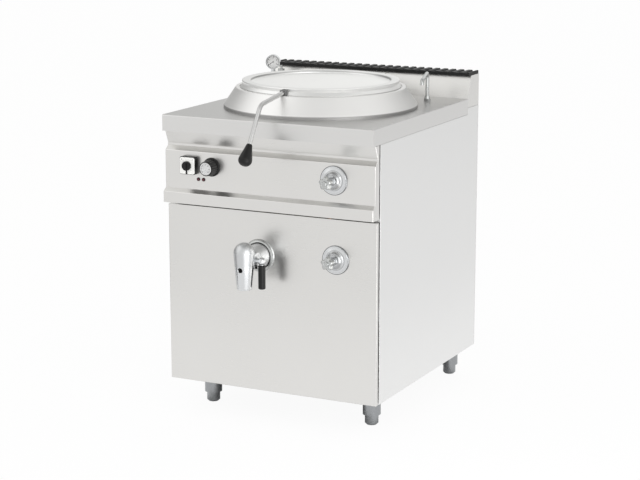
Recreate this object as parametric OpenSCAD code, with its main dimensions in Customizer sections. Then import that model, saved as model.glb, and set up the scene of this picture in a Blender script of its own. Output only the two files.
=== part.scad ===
// Boiling pan in a cabinet: jacketed round vessel, hinged lid with a long
// handle, swivel filler, pressure gauge, two water valves and a drain tap.
// x runs to the right, y to the back and z up. The shapes are drawn with y = 0
// on the front of the worktop, and seated() moves them to the part's origin:
// the middle of the part's outline, on the floor.

/* [Cabinet] */
// Width of the cabinet and of the worktop
body_w = 640; // [620:1:700]
// Depth from the front of the worktop to the back
body_d = 740; // [735:1:800]
// Height of the worktop above the floor
worktop_z = 850; // [840:1:900]
// Height of the space under the cabinet
floor_gap = 92; // [75:1:110]
// Thickness of the panels and of the worktop
sheet = 1.5; // [1:0.1:2]
// Gap between neighbouring panels
seam = 0.3; // [0.2:0.05:0.4]
// How far the side panels start behind the front of the worktop
side_set = 46; // [42:1:47]
// Width of the folds along the edges of the side panels
fold_w = 20; // [12:1:24]

/* [Worktop and upstand] */
// Height of the folded front edge of the worktop
nosing_h = 45; // [40:1:50]
// Depth of the fold under that edge
nosing_fold = 13; // [8:1:13]
// Rounding of the worktop's front edge
nosing_r = 3; // [2:0.5:5]
// Depth of the upstand at the back of the worktop
upstand_d = 81; // [76:1:84]
// Height of the upstand above the worktop
upstand_h = 66; // [55:1:75]
// How far the upstand's front leans back
upstand_lean = 19; // [10:1:21]
// How far the upstand's ends reach down over the side panels
upstand_tab = 26; // [15:1:40]

/* [Flue grille] */
// Thickness of the grille's plate
grille_plate = 4.5; // [3:0.5:6]
// Height of the ribs above the plate
rib_h = 5.5; // [3:0.5:8]
// Width of a rib at its foot
rib_foot = 19; // [16:0.5:20]
// Width of a rib at its top
rib_top = 12; // [8:0.5:15]
// Wanted distance from rib to rib
rib_pitch = 25.6; // [24:0.1:32]
// Width of the slots between the ribs
grille_slot = 6; // [4:0.5:8]
// Width of the bar along the grille's front
grille_bar = 8; // [5:0.5:12]
// How far the grille reaches over the front of the upstand
grille_over = 16; // [8:1:20]

/* [Control panel] */
// Setback of the panel's face
panel_set = 14; // [13:0.5:18]
// Setback at the bottom of the groove above the face
groove_set = 29; // [25:0.5:32]
// Height of the slope above the groove
slope_h = 36; // [30:1:42]
// Height of the groove's flat bottom
groove_h = 6; // [4:0.5:10]
// Height of the slope from the groove out to the face
cove_h = 12; // [8:0.5:16]
// Height of the panel's face
face_h = 105; // [95:1:115]
// Height of the slope from the face out to the lower edge
ledge_h = 10; // [6:0.5:14]
// Height of the lower edge, in line with the worktop's front
lower_edge_h = 31; // [26:1:40]
// Depth at which the panels' side folds end
front_depth = 38; // [36:1:40]

/* [Front panel] */
// Setback of the front panel's face
door_set = 26; // [20:0.5:30]
// Gap above the front panel
door_gap = 8; // [4:0.5:12]

/* [Pan] */
// Distance from the collar's top edge in to the vessel's wall
rim_w = 41.5; // [40:0.5:60]
// Inner depth of the vessel
pan_depth = 394; // [370:1:400]
// Height of the vessel's rim above the worktop
rim_rise = 56; // [50:1:70]
// Thickness of the vessel and of its jacket
wall = 2; // [1.5:0.1:2.5]
// Rounding between the vessel's wall and its bottom
knuckle_r = 25; // [15:1:35]
// Width of the steam space between vessel and jacket
steam_gap = 26; // [22:1:27]
// Depth of the jacket below the vessel
jacket_under = 70; // [66:1:80]
// Thickness of the insulation round the jacket
wool = 28; // [18:1:30]
// Distance from the worktop down to the insulation's top
wool_drop = 50; // [44:1:80]

/* [Collar] */
// Distance from the front of the worktop to the collar
collar_front = 63; // [62:1:70]
// Distance from the collar back to the upstand
collar_back = 46; // [44:1:60]
// Least distance from the collar to the cabinet's sides
collar_side = 45; // [43:1:60]
// How far the collar narrows from the worktop to its top
collar_slope_w = 33.5; // [28:0.5:35]
// Width of the flat lip on the collar's top
collar_lip = 11.5; // [10:0.5:12]
// Height of the collar's upright foot
collar_foot = 8; // [4:0.5:12]
// Rounding of the collar's edges
collar_round = 3; // [2:0.5:4]
// Thickness of the collar
collar_t = 2; // [1.5:0.1:2.5]

/* [Lid] */
// How far the lid's upper edge is inside the collar's top edge
lid_inset = 18.5; // [17:0.5:19.5]
// How far the lid's side is drawn in at its waist
lid_waist = 2.3; // [1.5:0.1:4]
// How far the flange that rests on the rim stands out of the lid's upper edge
lid_flange = 4.5; // [3:0.5:5.5]
// Height of the lid above its resting face
lid_h = 20.7; // [19:0.1:24]
// Width of the raised ring round the lid's sunk middle
lid_ring_w = 25; // [18:1:33]
// Depth of the sunk middle at its edge
recess_depth = 8; // [5:0.5:8.5]
// How far the sunk middle is domed
recess_crown = 2.5; // [1:0.5:4]
// Thickness of the lid's skins
lid_t = 1.2; // [1:0.1:1.5]
// Thickness of the seal under the lid
gasket_t = 2.6; // [2:0.1:3]

/* [Lid hinge] */
// Distance from the collar's top edge back to the hinge pin
hinge_gap = 20; // [17:0.5:24]
// Height of the hinge pin above the rim
hinge_rise = 5; // [3:0.5:8]
// Radius of the hinge pin
pin_r = 4; // [3:0.5:5]
// Radial clearance of the pin in its bores
pin_play = 0.05; // [0.02:0.01:0.1]
// Radius of the knuckles round the pin
knuckle_barrel_r = 8; // [7:0.5:9]
// Distance from the middle to a knuckle's middle
knuckle_x = 60; // [45:1:90]
// Width of a knuckle
knuckle_w = 30; // [20:1:40]
// Thickness of a bracket's ear
ear_t = 6; // [4:0.5:8]

/* [Lid handle] */
// Radius of the handle's rod
rod_r = 6; // [5:0.5:6]
// Slope of the rod's upper length, in degrees below level
rod_slope = 7.3; // [5:0.1:8]
// How far the corner of the rod's bend is in front of the worktop
corner_out = 23.4; // [16:0.1:34]
// Slope of the rod's lower length, in degrees below level
rod_drop = 57; // [50:1:65]
// Length of the lower rod, from the bend's corner to the grip
rod_fall = 116; // [90:1:130]
// Radius of the bend along the rod's middle
rod_bend = 34; // [20:1:45]
// Length of the grip
grip_l = 62; // [50:1:75]
// Largest radius of the grip
grip_r = 18.8; // [14:0.1:22]

/* [Filler] */
// Distance of the filler's axis from the cabinet's right side
filler_inset = 90.6; // [86:0.1:96]
// Distance of the filler's axis from the upstand
filler_back = 92; // [80:1:99]
// Radius of the filler's tube
filler_r = 5.5; // [5:0.5:6]
// Height of the tube's top above the worktop
filler_h = 87; // [84:1:92]
// Level reach of the arm
filler_reach = 140; // [125:1:150]
// How far the arm's end is below its start
filler_fall = 5; // [3:1:8]
// How far the arm is turned to the right from straight ahead
filler_turn = 17; // [10:1:40]

/* [Gauge] */
// Distance of the gauge from the cabinet's left side
gauge_inset = 30; // [27:1:36]
// Distance of the gauge from the upstand
gauge_back = 59; // [53:1:63]
// Height of the gauge's middle above the worktop
gauge_rise = 83; // [76:1:90]
// Radius of the gauge's case
gauge_r = 22; // [20:0.5:25]
// Depth of the gauge's case
gauge_t = 15; // [12:0.5:18]
// How far the gauge is turned to the right from straight ahead
gauge_turn = 18; // [0:1:40]
// Where the pointer rests, turned left from straight up
needle_rest = 125; // [90:1:135]

/* [Controls] */
// Distance of the switch from the cabinet's left side
switch_inset = 78.5; // [74:0.5:90]
// Distance from the worktop down to the switch and regulator
control_drop = 137; // [132:1:142]
// Width of the switch's square plate
plate_w = 47; // [40:1:50]
// How far the switch's box stands out of the panel
switch_box_l = 15; // [12:1:26]
// Distance of the regulator from the cabinet's left side
regulator_inset = 147; // [142:1:160]
// Length of the knobs' shafts behind the panel
shaft_l = 26; // [16:1:32]
// Radius of the regulator knob's skirt
regulator_r = 26; // [22:0.5:27]
// Length of the regulator knob
regulator_l = 32; // [26:1:38]
// Distance from the worktop down to the lamps
lamp_drop = 175; // [173:1:180]
// Distance from lamp to lamp
lamp_pitch = 16; // [13:0.5:20]
// Radius of a lamp's lens
lamp_r = 5; // [3:0.5:6]

/* [Water valves] */
// Distance of the valves from the cabinet's right side
valve_inset = 121; // [115:1:128]
// Distance from the worktop down to the upper valve
upper_drop = 145; // [140:1:150]
// Distance from the worktop down to the lower valve
lower_drop = 364; // [350:1:380]
// Radius of a valve's cover plate
rosette_r = 40; // [34:0.5:42]
// Height of the cover plate with its bell round the neck
rosette_h = 16; // [12:0.5:20]
// Radius of a valve's neck
neck_r = 12; // [10:0.5:14]
// How far a valve's neck stands out
neck_l = 36; // [26:1:40]
// Radius at the lobes of a valve's knob
lobe_r = 19; // [14:0.5:22]
// Length of a valve's knob
lobe_l = 22; // [16:1:26]

/* [Drain tap] */
// Distance of the tap from the middle, to the left
tap_x = 33; // [20:1:45]
// Distance from the vessel's floor down to the tap's inlet
tap_under = 36; // [30:1:44]
// Radius of the tap's wall plate
tap_plate_r = 46; // [44:1:54]
// Radius of the tap's upright body
barrel_r = 29; // [27:0.5:30]
// How far the body's domed top is centred above the inlet
dome_rise = 24; // [16:1:26]
// Distance from the front panel to the spout's axis
tap_reach = 87; // [82:1:92]
// Distance from the front panel to the plug's axis
plug_set = 62; // [60:1:64]
// Radius of the spout's lower end
spout_r = 21.3; // [20:0.1:25]
// Distance from the inlet down to the spout's end
spout_l = 77; // [60:1:90]
// Radius of the bores in the tap
tap_bore = 12; // [11:0.5:12]
// Radius of the turning plug
plug_r = 15; // [14.5:0.5:16]
// Distance from the tap's middle to the lever's
tap_plane = 40; // [40:0.5:44]
// Radius of the lever's grip
lever_r = 10; // [8:0.5:11]
// Length of the lever's grip
lever_l = 66; // [50:1:75]
// Length of the lever's hub below the stem
lever_hub = 11; // [10:0.5:16]

/* [Legs] */
// Distance of the legs from the cabinet's sides
leg_inset = 68; // [60:1:80]
// Distance of the front legs from the front of the worktop
leg_front = 147; // [130:1:160]
// Distance of the back legs from the cabinet's back
leg_back = 29; // [28:1:50]
// Radius of a leg
leg_r = 25; // [22:0.5:27]
// Radius of a foot
foot_r = 19; // [16:0.5:21]
// Height of a foot below its leg
foot_h = 29; // [20:1:36]
// Radius of the foot's thread
thread_r = 8; // [6:0.5:10]

/* [Supply] */
// Distance of the supply's inlet and terminals from the cabinet's left side
supply_inset = 120; // [100:1:160]

/* [Hidden] */
$fn = 72;

// Overrun of every cut
over = 1;
// Clearance where a still piece passes through a hole
fit = 0.3;
// Radial clearance of a turning or sliding piece in its bore
play = 0.05;
// Steps in a quarter of a rounding
arc_steps = 6;
// Sides of a hexagon
hex_sides = 6;
// How far a straight tube runs into a bend, and how much the bend is thicker
lap = 1;
swell = 0.05;
// Facets of the wide round cuts that follow the lid
wide_fn = 360;

// Finishes of the pieces
steel = [0.82, 0.82, 0.81];
bright = [0.88, 0.89, 0.9];
iron = [0.12, 0.12, 0.12];
black = [0.1, 0.1, 0.11];
white = [0.95, 0.95, 0.94];
copper = [0.72, 0.45, 0.3];
grey = [0.5, 0.51, 0.52];
wool_tone = [0.75, 0.72, 0.6];
lamp_tone = [0.8, 0.12, 0.08];
glass_tone = [0.85, 0.9, 0.92, 0.4];

// Heights along the front
nosing_low = worktop_z - nosing_h;
panel_top = nosing_low - seam;
groove_top = panel_top - slope_h;
groove_low = groove_top - groove_h;
face_top = groove_low - cove_h;
face_low = face_top - face_h;
edge_top = face_low - ledge_h;
panel_low = edge_top - lower_edge_h;
door_top = panel_low - door_gap;
control_z = worktop_z - control_drop;
lamp_z = worktop_z - lamp_drop;

// The cabinet's inside
inner_w = body_w - 2 * sheet;
back_y = body_d - sheet;
slab_y = back_y - seam;
upstand_y = body_d - upstand_d;
upstand_top = worktop_z + upstand_h;
tab_low = worktop_z - upstand_tab;
worktop_under = worktop_z - sheet;

// The pan's place and the radii that follow from the room on the worktop
collar_span = upstand_y - collar_front - collar_back;
collar_r = min(body_w / 2 - collar_side, collar_span / 2);
pan_y = collar_front + collar_span / 2;
collar_top_r = collar_r - collar_slope_w;
pan_r = collar_top_r - rim_w;
lid_r = collar_top_r - lid_inset;
lid_waist_r = lid_r - lid_waist;
lid_flange_r = lid_r + lid_flange;
recess_r = lid_r - lid_ring_w;
filler_y = upstand_y - filler_back;
gauge_y = upstand_y - gauge_back;

// The frame's square tubes and the struts that join them to the front
rail = 25;
rail_wall = 2;
post_x = inner_w / 2 - seam - rail / 2;
post_front_y = side_set + sheet + fit + rail / 2;
post_back_y = slab_y - sheet - fit - rail / 2;
strut_h = 40;
strut_w = rail - 2 * rail_wall;
strut_heights = [control_z, (door_top + floor_gap) / 2];
tray_z = floor_gap + sheet + seam;
tray_t = 2;
tray_top = tray_z + tray_t;

// Vent in the worktop under the grille
vent_inset = 30;
vent_w = body_w - 2 * vent_inset;
vent_y = upstand_y + vent_inset;
vent_d = 22;
// Edge of the grille at the back and the step of its front bar
grille_edge = 4;
grille_step = 1;

// Width of the folds round the upstand's open top
upstand_fold = 6;

// Back panel's slots
louvre_w = 160;
louvre_h = 5;
louvre_pitch = 16;
louvre_count = 8;
louvre_z = 300;
louvre_share = 0.25;

// Heights and radii of the pan
rim_z = worktop_z + rim_rise;
pan_floor = rim_z - pan_depth;
pan_out = pan_r + wall;
jacket_in = pan_out + steam_gap;
jacket_r = jacket_in + wall;
jacket_low = pan_floor - jacket_under;
jacket_rise = 22;
jacket_top = worktop_z + jacket_rise;
wool_r = jacket_r + fit + wool;
wool_top = worktop_z - wool_drop;
collar_top = rim_z + collar_t;
lip_r = collar_top_r - collar_lip;
rim_r = collar_top_r - 2 * collar_t;
edge_r = 2;
gasket_step = 6;
gasket_inset = 4;

// Heating elements: rods, their spread and their flange at the back
rod_tube_r = 4.5;
hairpin_r = 10;
hairpin_pitch = 44;
element_gap = 13;
port_r = 66;
port_wall = 3;
port_l = 16;
port_t = 5;
element_rise = 36;
element_z = jacket_low + element_rise;

// Drain pipe and strainer
neck_pipe_r = 21;
neck_pipe_in = 18;
drain_r = 23;
drain_in = 20;
strainer_r = 30;
strainer_t = 1.5;
strainer_hole = 2.5;
strainer_lug = 8;
strainer_holes = 8;
strainer_ring = 13.5;
outlet_r = pan_r - knuckle_r - strainer_r - fit;
outlet_y = pan_y - sqrt(outlet_r * outlet_r - tap_x * tap_x);
hairpin_reach = pan_y - outlet_y - drain_r - hairpin_r - rod_tube_r - element_gap;

// The lid
lid_lift = 0.8;
lid_low = rim_z + lid_lift;
lid_top = lid_low + lid_h;
liner_z = rim_z + fit + gasket_t;
gasket_out = lid_flange_r - gasket_step;
gasket_in = pan_r + gasket_inset;
recess_z = lid_top - recess_depth;
waist_z = lid_low + lid_h / 2;
flange_h = 2.2;
lid_round = 2.5;
// Where a rounded corner's middle point lies, and how far its inner side leans there
corner_share = 0.33;
lean_even = 0.7;
lean_steep = 0.8;
lean_low = 0.4;

// The lid's hinge
hinge_y = pan_y + collar_top_r + hinge_gap;
hinge_z = rim_z + hinge_rise;
ear_shift = knuckle_w / 2 + seam + ear_t / 2;
pin_end = 4;
pin_l = 2 * (knuckle_x + knuckle_w / 2 + seam + ear_t + pin_end);
arm_low = collar_top + lid_lift;
arm_top = hinge_z + knuckle_barrel_r - edge_r;
ear_r = 9;
ear_base_d = 30;
ear_base_t = 4;
ear_base_gap = 6;
ear_base_y = pan_y + collar_r + ear_base_gap;
ear_base_end = 12;
ear_base_l = 2 * (knuckle_x + ear_shift + ear_base_end);

// The lid's handle: its start, its bend's corner and the start of its grip
rod_lift = 2.2;
rod_start = 1;
rod_sunk = 44;
rod_y = pan_y - lid_flange_r - rod_start;
rod_z = collar_top + rod_r + rod_lift;
rod_reach = (rod_y + corner_out) / cos(rod_slope);
corner_y = -corner_out;
corner_z = rod_z - rod_reach * sin(rod_slope);
grip_y = corner_y - rod_fall * cos(rod_drop);
grip_z = corner_z - rod_fall * sin(rod_drop);
bend_angle = rod_drop - rod_slope;
bend_cut = rod_bend * tan(bend_angle / 2);
socket_w = 15;
socket_l = 9;
socket_low = collar_top + lid_lift;
socket_h = 14;
// The grip's radii and how far along it they lie, as shares of its radius and length
grip_shares = [[0.39, 0], [0.45, 0.05], [0.97, 0.66], [1, 0.72], [0.97, 0.8],
               [0.84, 0.89], [0.6, 0.97], [0.5, 1]];
grip_points = [for (s = grip_shares) [s[0] * grip_r, s[1] * grip_l]];

// How far the grip reaches in front of the worktop, and the move to the origin
grip_reach = max([for (p = grip_points)
                  p[1] * cos(rod_drop) + p[0] * sin(rod_drop)]) - grip_y;
inlet_out = 12;
inlet_l = 36;
frame_y = -(body_d + inlet_out - grip_reach) / 2;

// The filler: its base, bends and bore
filler_x = body_w / 2 - filler_inset;
filler_wall = 1.2;
filler_base_r = 10.5;
filler_base_h = 15;
filler_stub_r = 9;
filler_stub_l = 22;
filler_bend = 15;
filler_end_bend = 10;
filler_dip = asin(filler_fall / filler_reach);
filler_end = 3;
filler_sunk = 12;

// The gauge and the safety valve
gauge_x = gauge_inset - body_w / 2;
gauge_z = worktop_z + gauge_rise;
gauge_wall = 2;
gauge_pipe_r = 5;
gauge_boss_r = 7;
gauge_boss_l = 8;
gauge_run_drop = 28;
gauge_run_z = worktop_z - gauge_run_drop;
gauge_tap_set = 100;
gauge_tap_y = pan_y + gauge_tap_set;
dial_h = 5;
glass_t = 1.5;
needle_w = 1.6;
needle_t = 0.8;
needle_hub = 2.2;
needle_pin = 0.9;
valve_gap = 28;
relief_r = 8;
relief_h = 50;
relief_cap_r = 10;
relief_cap_h = 14;
relief_hex_h = 16;
relief_stem_r = 3.3;
relief_stem_h = 11;

// The controls
switch_x = switch_inset - body_w / 2;
switch_plate_t = 2;
switch_edge = 1;
switch_knob_r = 13;
switch_knob_l = 8;
switch_bar_w = 5;
switch_bar_h = 4;
block_w = 38;
block_l = 42;
shaft_r = 3;
shaft_gap = 0.4;
regulator_x = regulator_inset - body_w / 2;
regulator_skirt = 5;
regulator_neck_r = 21;
regulator_tip_r = 17.3;
regulator_groove = 1.6;
regulator_grooves = 20;
regulator_disc_t = 1;
regulator_disc_r = 15.3;
lamp_x = (switch_x + regulator_x) / 2;
lamp_dome = 1.5;
lamp_out = 2.5;
lamp_body_l = 22;

// The water valves and their pipes
valve_x = body_w / 2 - valve_inset;
upper_z = worktop_z - upper_drop;
lower_z = worktop_z - lower_drop;
tail_y = 66;
tail_w = 28;
stem_r = 4;
stem_sunk = 16;
lobes = 5;
lobe_share = 0.36;
screw_r = 3;
screw_t = 1.2;
// The cover plate's outline, as shares of its radius and height
rosette_shares = [[1, 0.12], [0.95, 0.19], [0.9, 0.17], [0.62, 0.34], [0.57, 0.5],
                  [0.5, 0.75], [0.4, 0.95], [0.3, 1]];
pipe_r = 7;
elbow_r = 9.5;
pipe_back = 14;
pipe_side = 16;
pipe_wall = 2;
pipe_room = 3;
pipe_x = inner_w / 2 - fold_w - pipe_r - elbow_r - pipe_room;
pipe_run_z = wool_top + elbow_r + edge_r;
inlet_r = 9.5;

// The drain tap
tap_z = pan_floor - tap_under;
plate_t = 2;
plate_h = 8;
// The wall plate's outline, as shares of its radius and height
plate_shares = [[1, 0.1], [0.957, 0.4], [0.916, 0.8], [0.83, 1]];
tap_y = door_set - tap_reach;
plug_y = door_set - plug_set;
dome_z = tap_z + dome_rise;
spout_z = tap_z - spout_l;
spout_top_drop = 20;
spout_top = tap_z - spout_top_drop;
tap_neck_r = 38;
tap_neck_l = 46;
boss_r = 24;
boss_l = 28;
mouth_r = 18;
mouth_l = 30;
port_hole_r = 7;
port_hole_depth = 10;
port_hole_drop = 20;
port_hole_z = tap_z - port_hole_drop;
plug_bore = 11;
plug_l = 42;
plug_stem_r = 7;
lever_x = tap_plane - tap_x;
hub_r = 11;
hub_screw_r = 2.5;
hub_screw_t = 2;

// The legs
leg_x = body_w / 2 - leg_inset;
leg_back_y = body_d - leg_back;
leg_low = foot_h + fit;
foot_chamfer = 5;
thread_l = 36;
thread_room = 6;

// The supply's inlet and terminals
supply_x = body_w / 2 - supply_inset;
supply_z = 180;
gland_r = 14;
gland_bore = 6;
gland_l = 24;
gland_out = 11;
terminal_w = 90;
terminal_d = 50;
terminal_h = 34;
terminal_back = 150;

module seated() {
  translate([0, frame_y, 0]) children();
}

// Extrudes an outline drawn in y and z along x, centred
module along_x(length) {
  rotate([90, 0, 90]) linear_extrude(height = length, center = true) children();
}

// Turns what is drawn along z so that it points to the front from a place
module facing(x, y, z) {
  translate([x, y, z]) rotate([90, 0, 0]) children();
}

// Turns what is drawn along z so that it points to the right, centred on a place
module sideways(x, y, z) {
  translate([x, y, z]) rotate([0, 90, 0]) children();
}

module at_pan() {
  translate([0, pan_y, 0]) children();
}

module tube(r_out, r_in, length) {
  difference() {
    cylinder(r = r_out, h = length);
    translate([0, 0, -over]) cylinder(r = r_in, h = length + 2 * over);
  }
}

// Square tube along z, centred on its axis
module box_tube(length) {
  linear_extrude(height = length) difference() {
    square(rail, center = true);
    square(rail - 2 * rail_wall, center = true);
  }
}

// Straight rod between two points
module leg_between(a, b, r) {
  d = b - a;
  length = norm(d);
  translate(a) rotate([0, acos(d[2] / length), atan2(d[1], d[0])])
    cylinder(r = r, h = length);
}

// Pipe through a list of points, with a fitting at each corner
module pipe_run(points, r, corner_r) {
  for (i = [0 : len(points) - 2]) leg_between(points[i], points[i + 1], r);
  for (i = [1 : len(points) - 2]) translate(points[i]) sphere(r = corner_r);
}

// Folded sheet piece as wide as the cabinet: an outline in y and z, hollowed by a
// second one, and open at the back between the folds along its ends
module folded_front() {
  difference() {
    along_x(body_w) children(0);
    along_x(inner_w) children(1);
    translate([0, sheet + over, 0]) along_x(inner_w - 2 * fold_w) children(1);
  }
}

function arc(c, r, from, to) =
  [for (i = [0 : arc_steps])
   c + r * [cos(from + (to - from) * i / arc_steps),
            sin(from + (to - from) * i / arc_steps)]];

module worktop_outline() {
  r = nosing_r;
  polygon(concat(
    [[nosing_fold, nosing_low], [0, nosing_low]],
    arc([r, worktop_z - r], r, 180, 90),
    [[slab_y, worktop_z], [slab_y, worktop_under]],
    arc([r, worktop_z - r], r - sheet, 90, 180),
    [[sheet, nosing_low + sheet], [nosing_fold, nosing_low + sheet]]));
}

module skirt_outline() {
  r = nosing_r;
  polygon(concat([[0, nosing_low]], arc([r, worktop_z - r], r, 180, 90),
                 [[upstand_y - seam, worktop_z], [upstand_y - seam, nosing_low]]));
}

module worktop() {
  color(steel) seated() difference() {
    union() {
      along_x(body_w) worktop_outline();
      for (side = [-1, 1])
        translate([side * (inner_w + sheet) / 2, 0, 0]) along_x(sheet) skirt_outline();
    }
    for (side = [-1, 1])
      translate([side * body_w / 2, body_d / 2 + upstand_y - seam, worktop_z])
        cube([2 * (sheet + seam), body_d, 2 * nosing_h], center = true);
    at_pan() translate([0, 0, worktop_under - over])
      cylinder(r = jacket_r + fit, h = sheet + 2 * over);
    translate([-vent_w / 2, vent_y, worktop_under - over])
      cube([vent_w, vent_d, sheet + 2 * over]);
    for (hole = [[filler_x, filler_y, filler_stub_r], [gauge_x, gauge_y, gauge_pipe_r],
                 [gauge_x + valve_gap, gauge_y, gauge_pipe_r]])
      translate([hole[0], hole[1], worktop_under - over])
        cylinder(r = hole[2] + fit, h = sheet + 2 * over);
  }
}

// Upstand's side outline, moved in by a wall
module upstand_outline(inset, low) {
  polygon([[upstand_y + inset, low], [upstand_y + inset, worktop_z],
           [upstand_y + upstand_lean + inset, upstand_top - inset],
           [body_d - inset, upstand_top - inset], [body_d - inset, low]]);
}

module upstand() {
  color(steel) seated() difference() {
    union() {
      along_x(body_w) upstand_outline(0, worktop_z);
      for (side = [-1, 1])
        translate([side * (inner_w + sheet) / 2, (upstand_y + back_y - seam) / 2,
                   (tab_low + worktop_z) / 2 + over / 2])
          cube([sheet, back_y - seam - upstand_y, worktop_z - tab_low + over],
               center = true);
    }
    along_x(inner_w) upstand_outline(sheet, worktop_z - over);
    translate([-vent_w / 2, upstand_y + upstand_lean + upstand_fold, upstand_top - 2 * sheet])
      cube([vent_w, upstand_d - upstand_lean - 2 * upstand_fold, 2 * sheet + over]);
  }
}

module flue_grille() {
  front = upstand_y + upstand_lean - grille_over;
  back = body_d - grille_edge;
  count = floor(body_w / rib_pitch);
  pitch = body_w / count;
  plate_top = upstand_top + grille_plate;
  color(iron) seated() difference() {
    union() {
      translate([-body_w / 2, front, upstand_top]) cube([body_w, back - front, grille_plate]);
      translate([-body_w / 2, front, upstand_top])
        cube([body_w, grille_bar, grille_plate + rib_h - grille_step]);
      intersection() {
        for (i = [0 : count])
          translate([i * pitch - body_w / 2, back, 0]) rotate([90, 0, 0])
            linear_extrude(height = back - front - grille_step)
              polygon([[-rib_foot / 2, plate_top - grille_step],
                       [-rib_top / 2, plate_top + rib_h], [rib_top / 2, plate_top + rib_h],
                       [rib_foot / 2, plate_top - grille_step]]);
        translate([-body_w / 2, front, upstand_top])
          cube([body_w, back - front, 2 * (grille_plate + rib_h)]);
      }
    }
    for (i = [0 : count - 1])
      translate([i * pitch + (pitch - body_w - grille_slot) / 2, front + 2 * grille_bar,
                 upstand_top - over])
        cube([grille_slot, back - grille_bar - (front + 2 * grille_bar), grille_plate + 2 * over]);
  }
}

// The control panel's face from top to bottom, moved back by a depth
module control_outline(inset, deep) {
  polygon([[panel_set + inset, panel_top - inset], [groove_set + inset, groove_top],
           [groove_set + inset, groove_low], [panel_set + inset, face_top],
           [panel_set + inset, face_low], [inset, edge_top],
           [inset, panel_low + inset], [deep, panel_low + inset],
           [deep, panel_top - inset]]);
}

module control_panel() {
  color(steel) seated() difference() {
    folded_front() {
      control_outline(0, front_depth);
      control_outline(sheet, front_depth - sheet);
    }
    facing(switch_x, panel_set + sheet + over, control_z)
      cylinder(r = shaft_r + shaft_gap, h = sheet + 2 * over);
    facing(regulator_x, panel_set + sheet + over, control_z)
      cylinder(r = shaft_r + shaft_gap, h = sheet + 2 * over);
    for (side = [-1, 1])
      facing(lamp_x + side * lamp_pitch / 2, panel_set + sheet + over, lamp_z)
        cylinder(r = lamp_r + play, h = sheet + 2 * over);
    facing(valve_x, panel_set + sheet + over, upper_z)
      cylinder(r = neck_r + fit, h = sheet + 2 * over);
  }
}

module front_outline(inset, deep) {
  polygon([[door_set + inset, door_top - inset], [door_set + inset, floor_gap + inset],
           [deep, floor_gap + inset], [deep, door_top - inset]]);
}

module front_panel() {
  color(steel) seated() difference() {
    folded_front() {
      front_outline(0, front_depth);
      front_outline(sheet, front_depth - sheet);
    }
    facing(-tap_x, door_set + sheet + over, tap_z) cylinder(r = drain_r + fit, h = sheet + 2 * over);
    facing(valve_x, door_set + sheet + over, lower_z)
      cylinder(r = neck_r + fit, h = sheet + 2 * over);
  }
}

// Side panel's outline, moved in by a wall
module side_outline(inset) {
  polygon([[side_set + inset, floor_gap + inset], [back_y - seam - inset, floor_gap + inset],
           [back_y - seam - inset, tab_low - seam - inset],
           [upstand_y + inset, tab_low - seam - inset],
           [upstand_y + inset, panel_top - inset], [side_set + inset, panel_top - inset]]);
}

module side_panel(side) {
  color(steel) seated() difference() {
    translate([side * (body_w - fold_w) / 2, 0, 0]) along_x(fold_w) side_outline(0);
    translate([side * (inner_w - fold_w - over) / 2, 0, 0])
      along_x(fold_w + over) side_outline(sheet);
    // Notches in the folds for the frame's posts and struts
    for (y = [post_front_y, post_back_y])
      translate([side * post_x, y, tab_low])
        cube([rail + 2 * seam, rail + 2 * seam, 2 * nosing_h], center = true);
    for (z = strut_heights)
      translate([side * post_x, side_set, z])
        cube([strut_w + 2 * seam, 2 * (sheet + over), strut_h + 2 * seam], center = true);
  }
}

module side_panel_left() {
  side_panel(-1);
}

module side_panel_right() {
  side_panel(1);
}

module back_panel() {
  color(steel) seated() difference() {
    translate([-body_w / 2, back_y, floor_gap])
      cube([body_w, sheet, worktop_z - floor_gap]);
    for (side = [-1, 1], i = [0 : louvre_count - 1])
      translate([side * body_w * louvre_share - louvre_w / 2, back_y - over,
                 louvre_z + i * louvre_pitch])
        cube([louvre_w, sheet + 2 * over, louvre_h]);
    for (z = [upper_z, lower_z])
      facing(pipe_x, body_d + over, z) cylinder(r = inlet_r + fit, h = sheet + 2 * over);
    facing(-supply_x, body_d + over, supply_z)
      cylinder(r = gland_r - edge_r, h = sheet + 2 * over);
  }
}

module base_tray() {
  front = side_set + sheet + seam;
  back = slab_y - sheet - seam;
  color(steel) seated() translate([seam - inner_w / 2, front, tray_z])
    cube([inner_w - 2 * seam, back - front, tray_t]);
}

module frame() {
  inside = 2 * post_x - rail;
  top_z = worktop_under - rail / 2;
  low_z = tray_top + rail / 2;
  between = post_back_y - post_front_y - rail;
  color(grey) seated() {
    for (side = [-1, 1]) {
      for (y = [post_front_y, post_back_y])
        translate([side * post_x, y, tray_top]) box_tube(worktop_under - tray_top);
      translate([side * post_x, post_front_y + rail / 2 + between, low_z])
        rotate([90, 0, 0]) box_tube(between);
      // Struts that carry the control panel and the front panel
      for (z = strut_heights)
        translate([side * post_x, (front_depth + post_front_y - rail / 2) / 2, z])
          cube([strut_w, post_front_y - rail / 2 - front_depth, strut_h], center = true);
    }
    for (y = [post_front_y, post_back_y])
      translate([-inside / 2, y, top_z]) rotate([0, 90, 0]) box_tube(inside);
    for (y = [leg_front, leg_back_y - rail])
      translate([-inside / 2, y, low_z]) rotate([0, 90, 0]) box_tube(inside);
  }
}

module vessel_profile() {
  k = knuckle_r;
  polygon(concat(
    [[0, pan_floor - wall]],
    arc([pan_r - k, pan_floor + k], k + wall, -90, 0),
    [[pan_out, rim_z - wall], [rim_r, rim_z - wall], [rim_r, rim_z], [pan_r, rim_z]],
    arc([pan_r - k, pan_floor + k], k, 0, -90),
    [[0, pan_floor]]));
}

module pan_vessel() {
  color(steel) seated() difference() {
    at_pan() rotate_extrude() vessel_profile();
    translate([-tap_x, outlet_y, pan_floor - wall - over])
      cylinder(r = neck_pipe_in, h = wall + 2 * over);
  }
}

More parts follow.
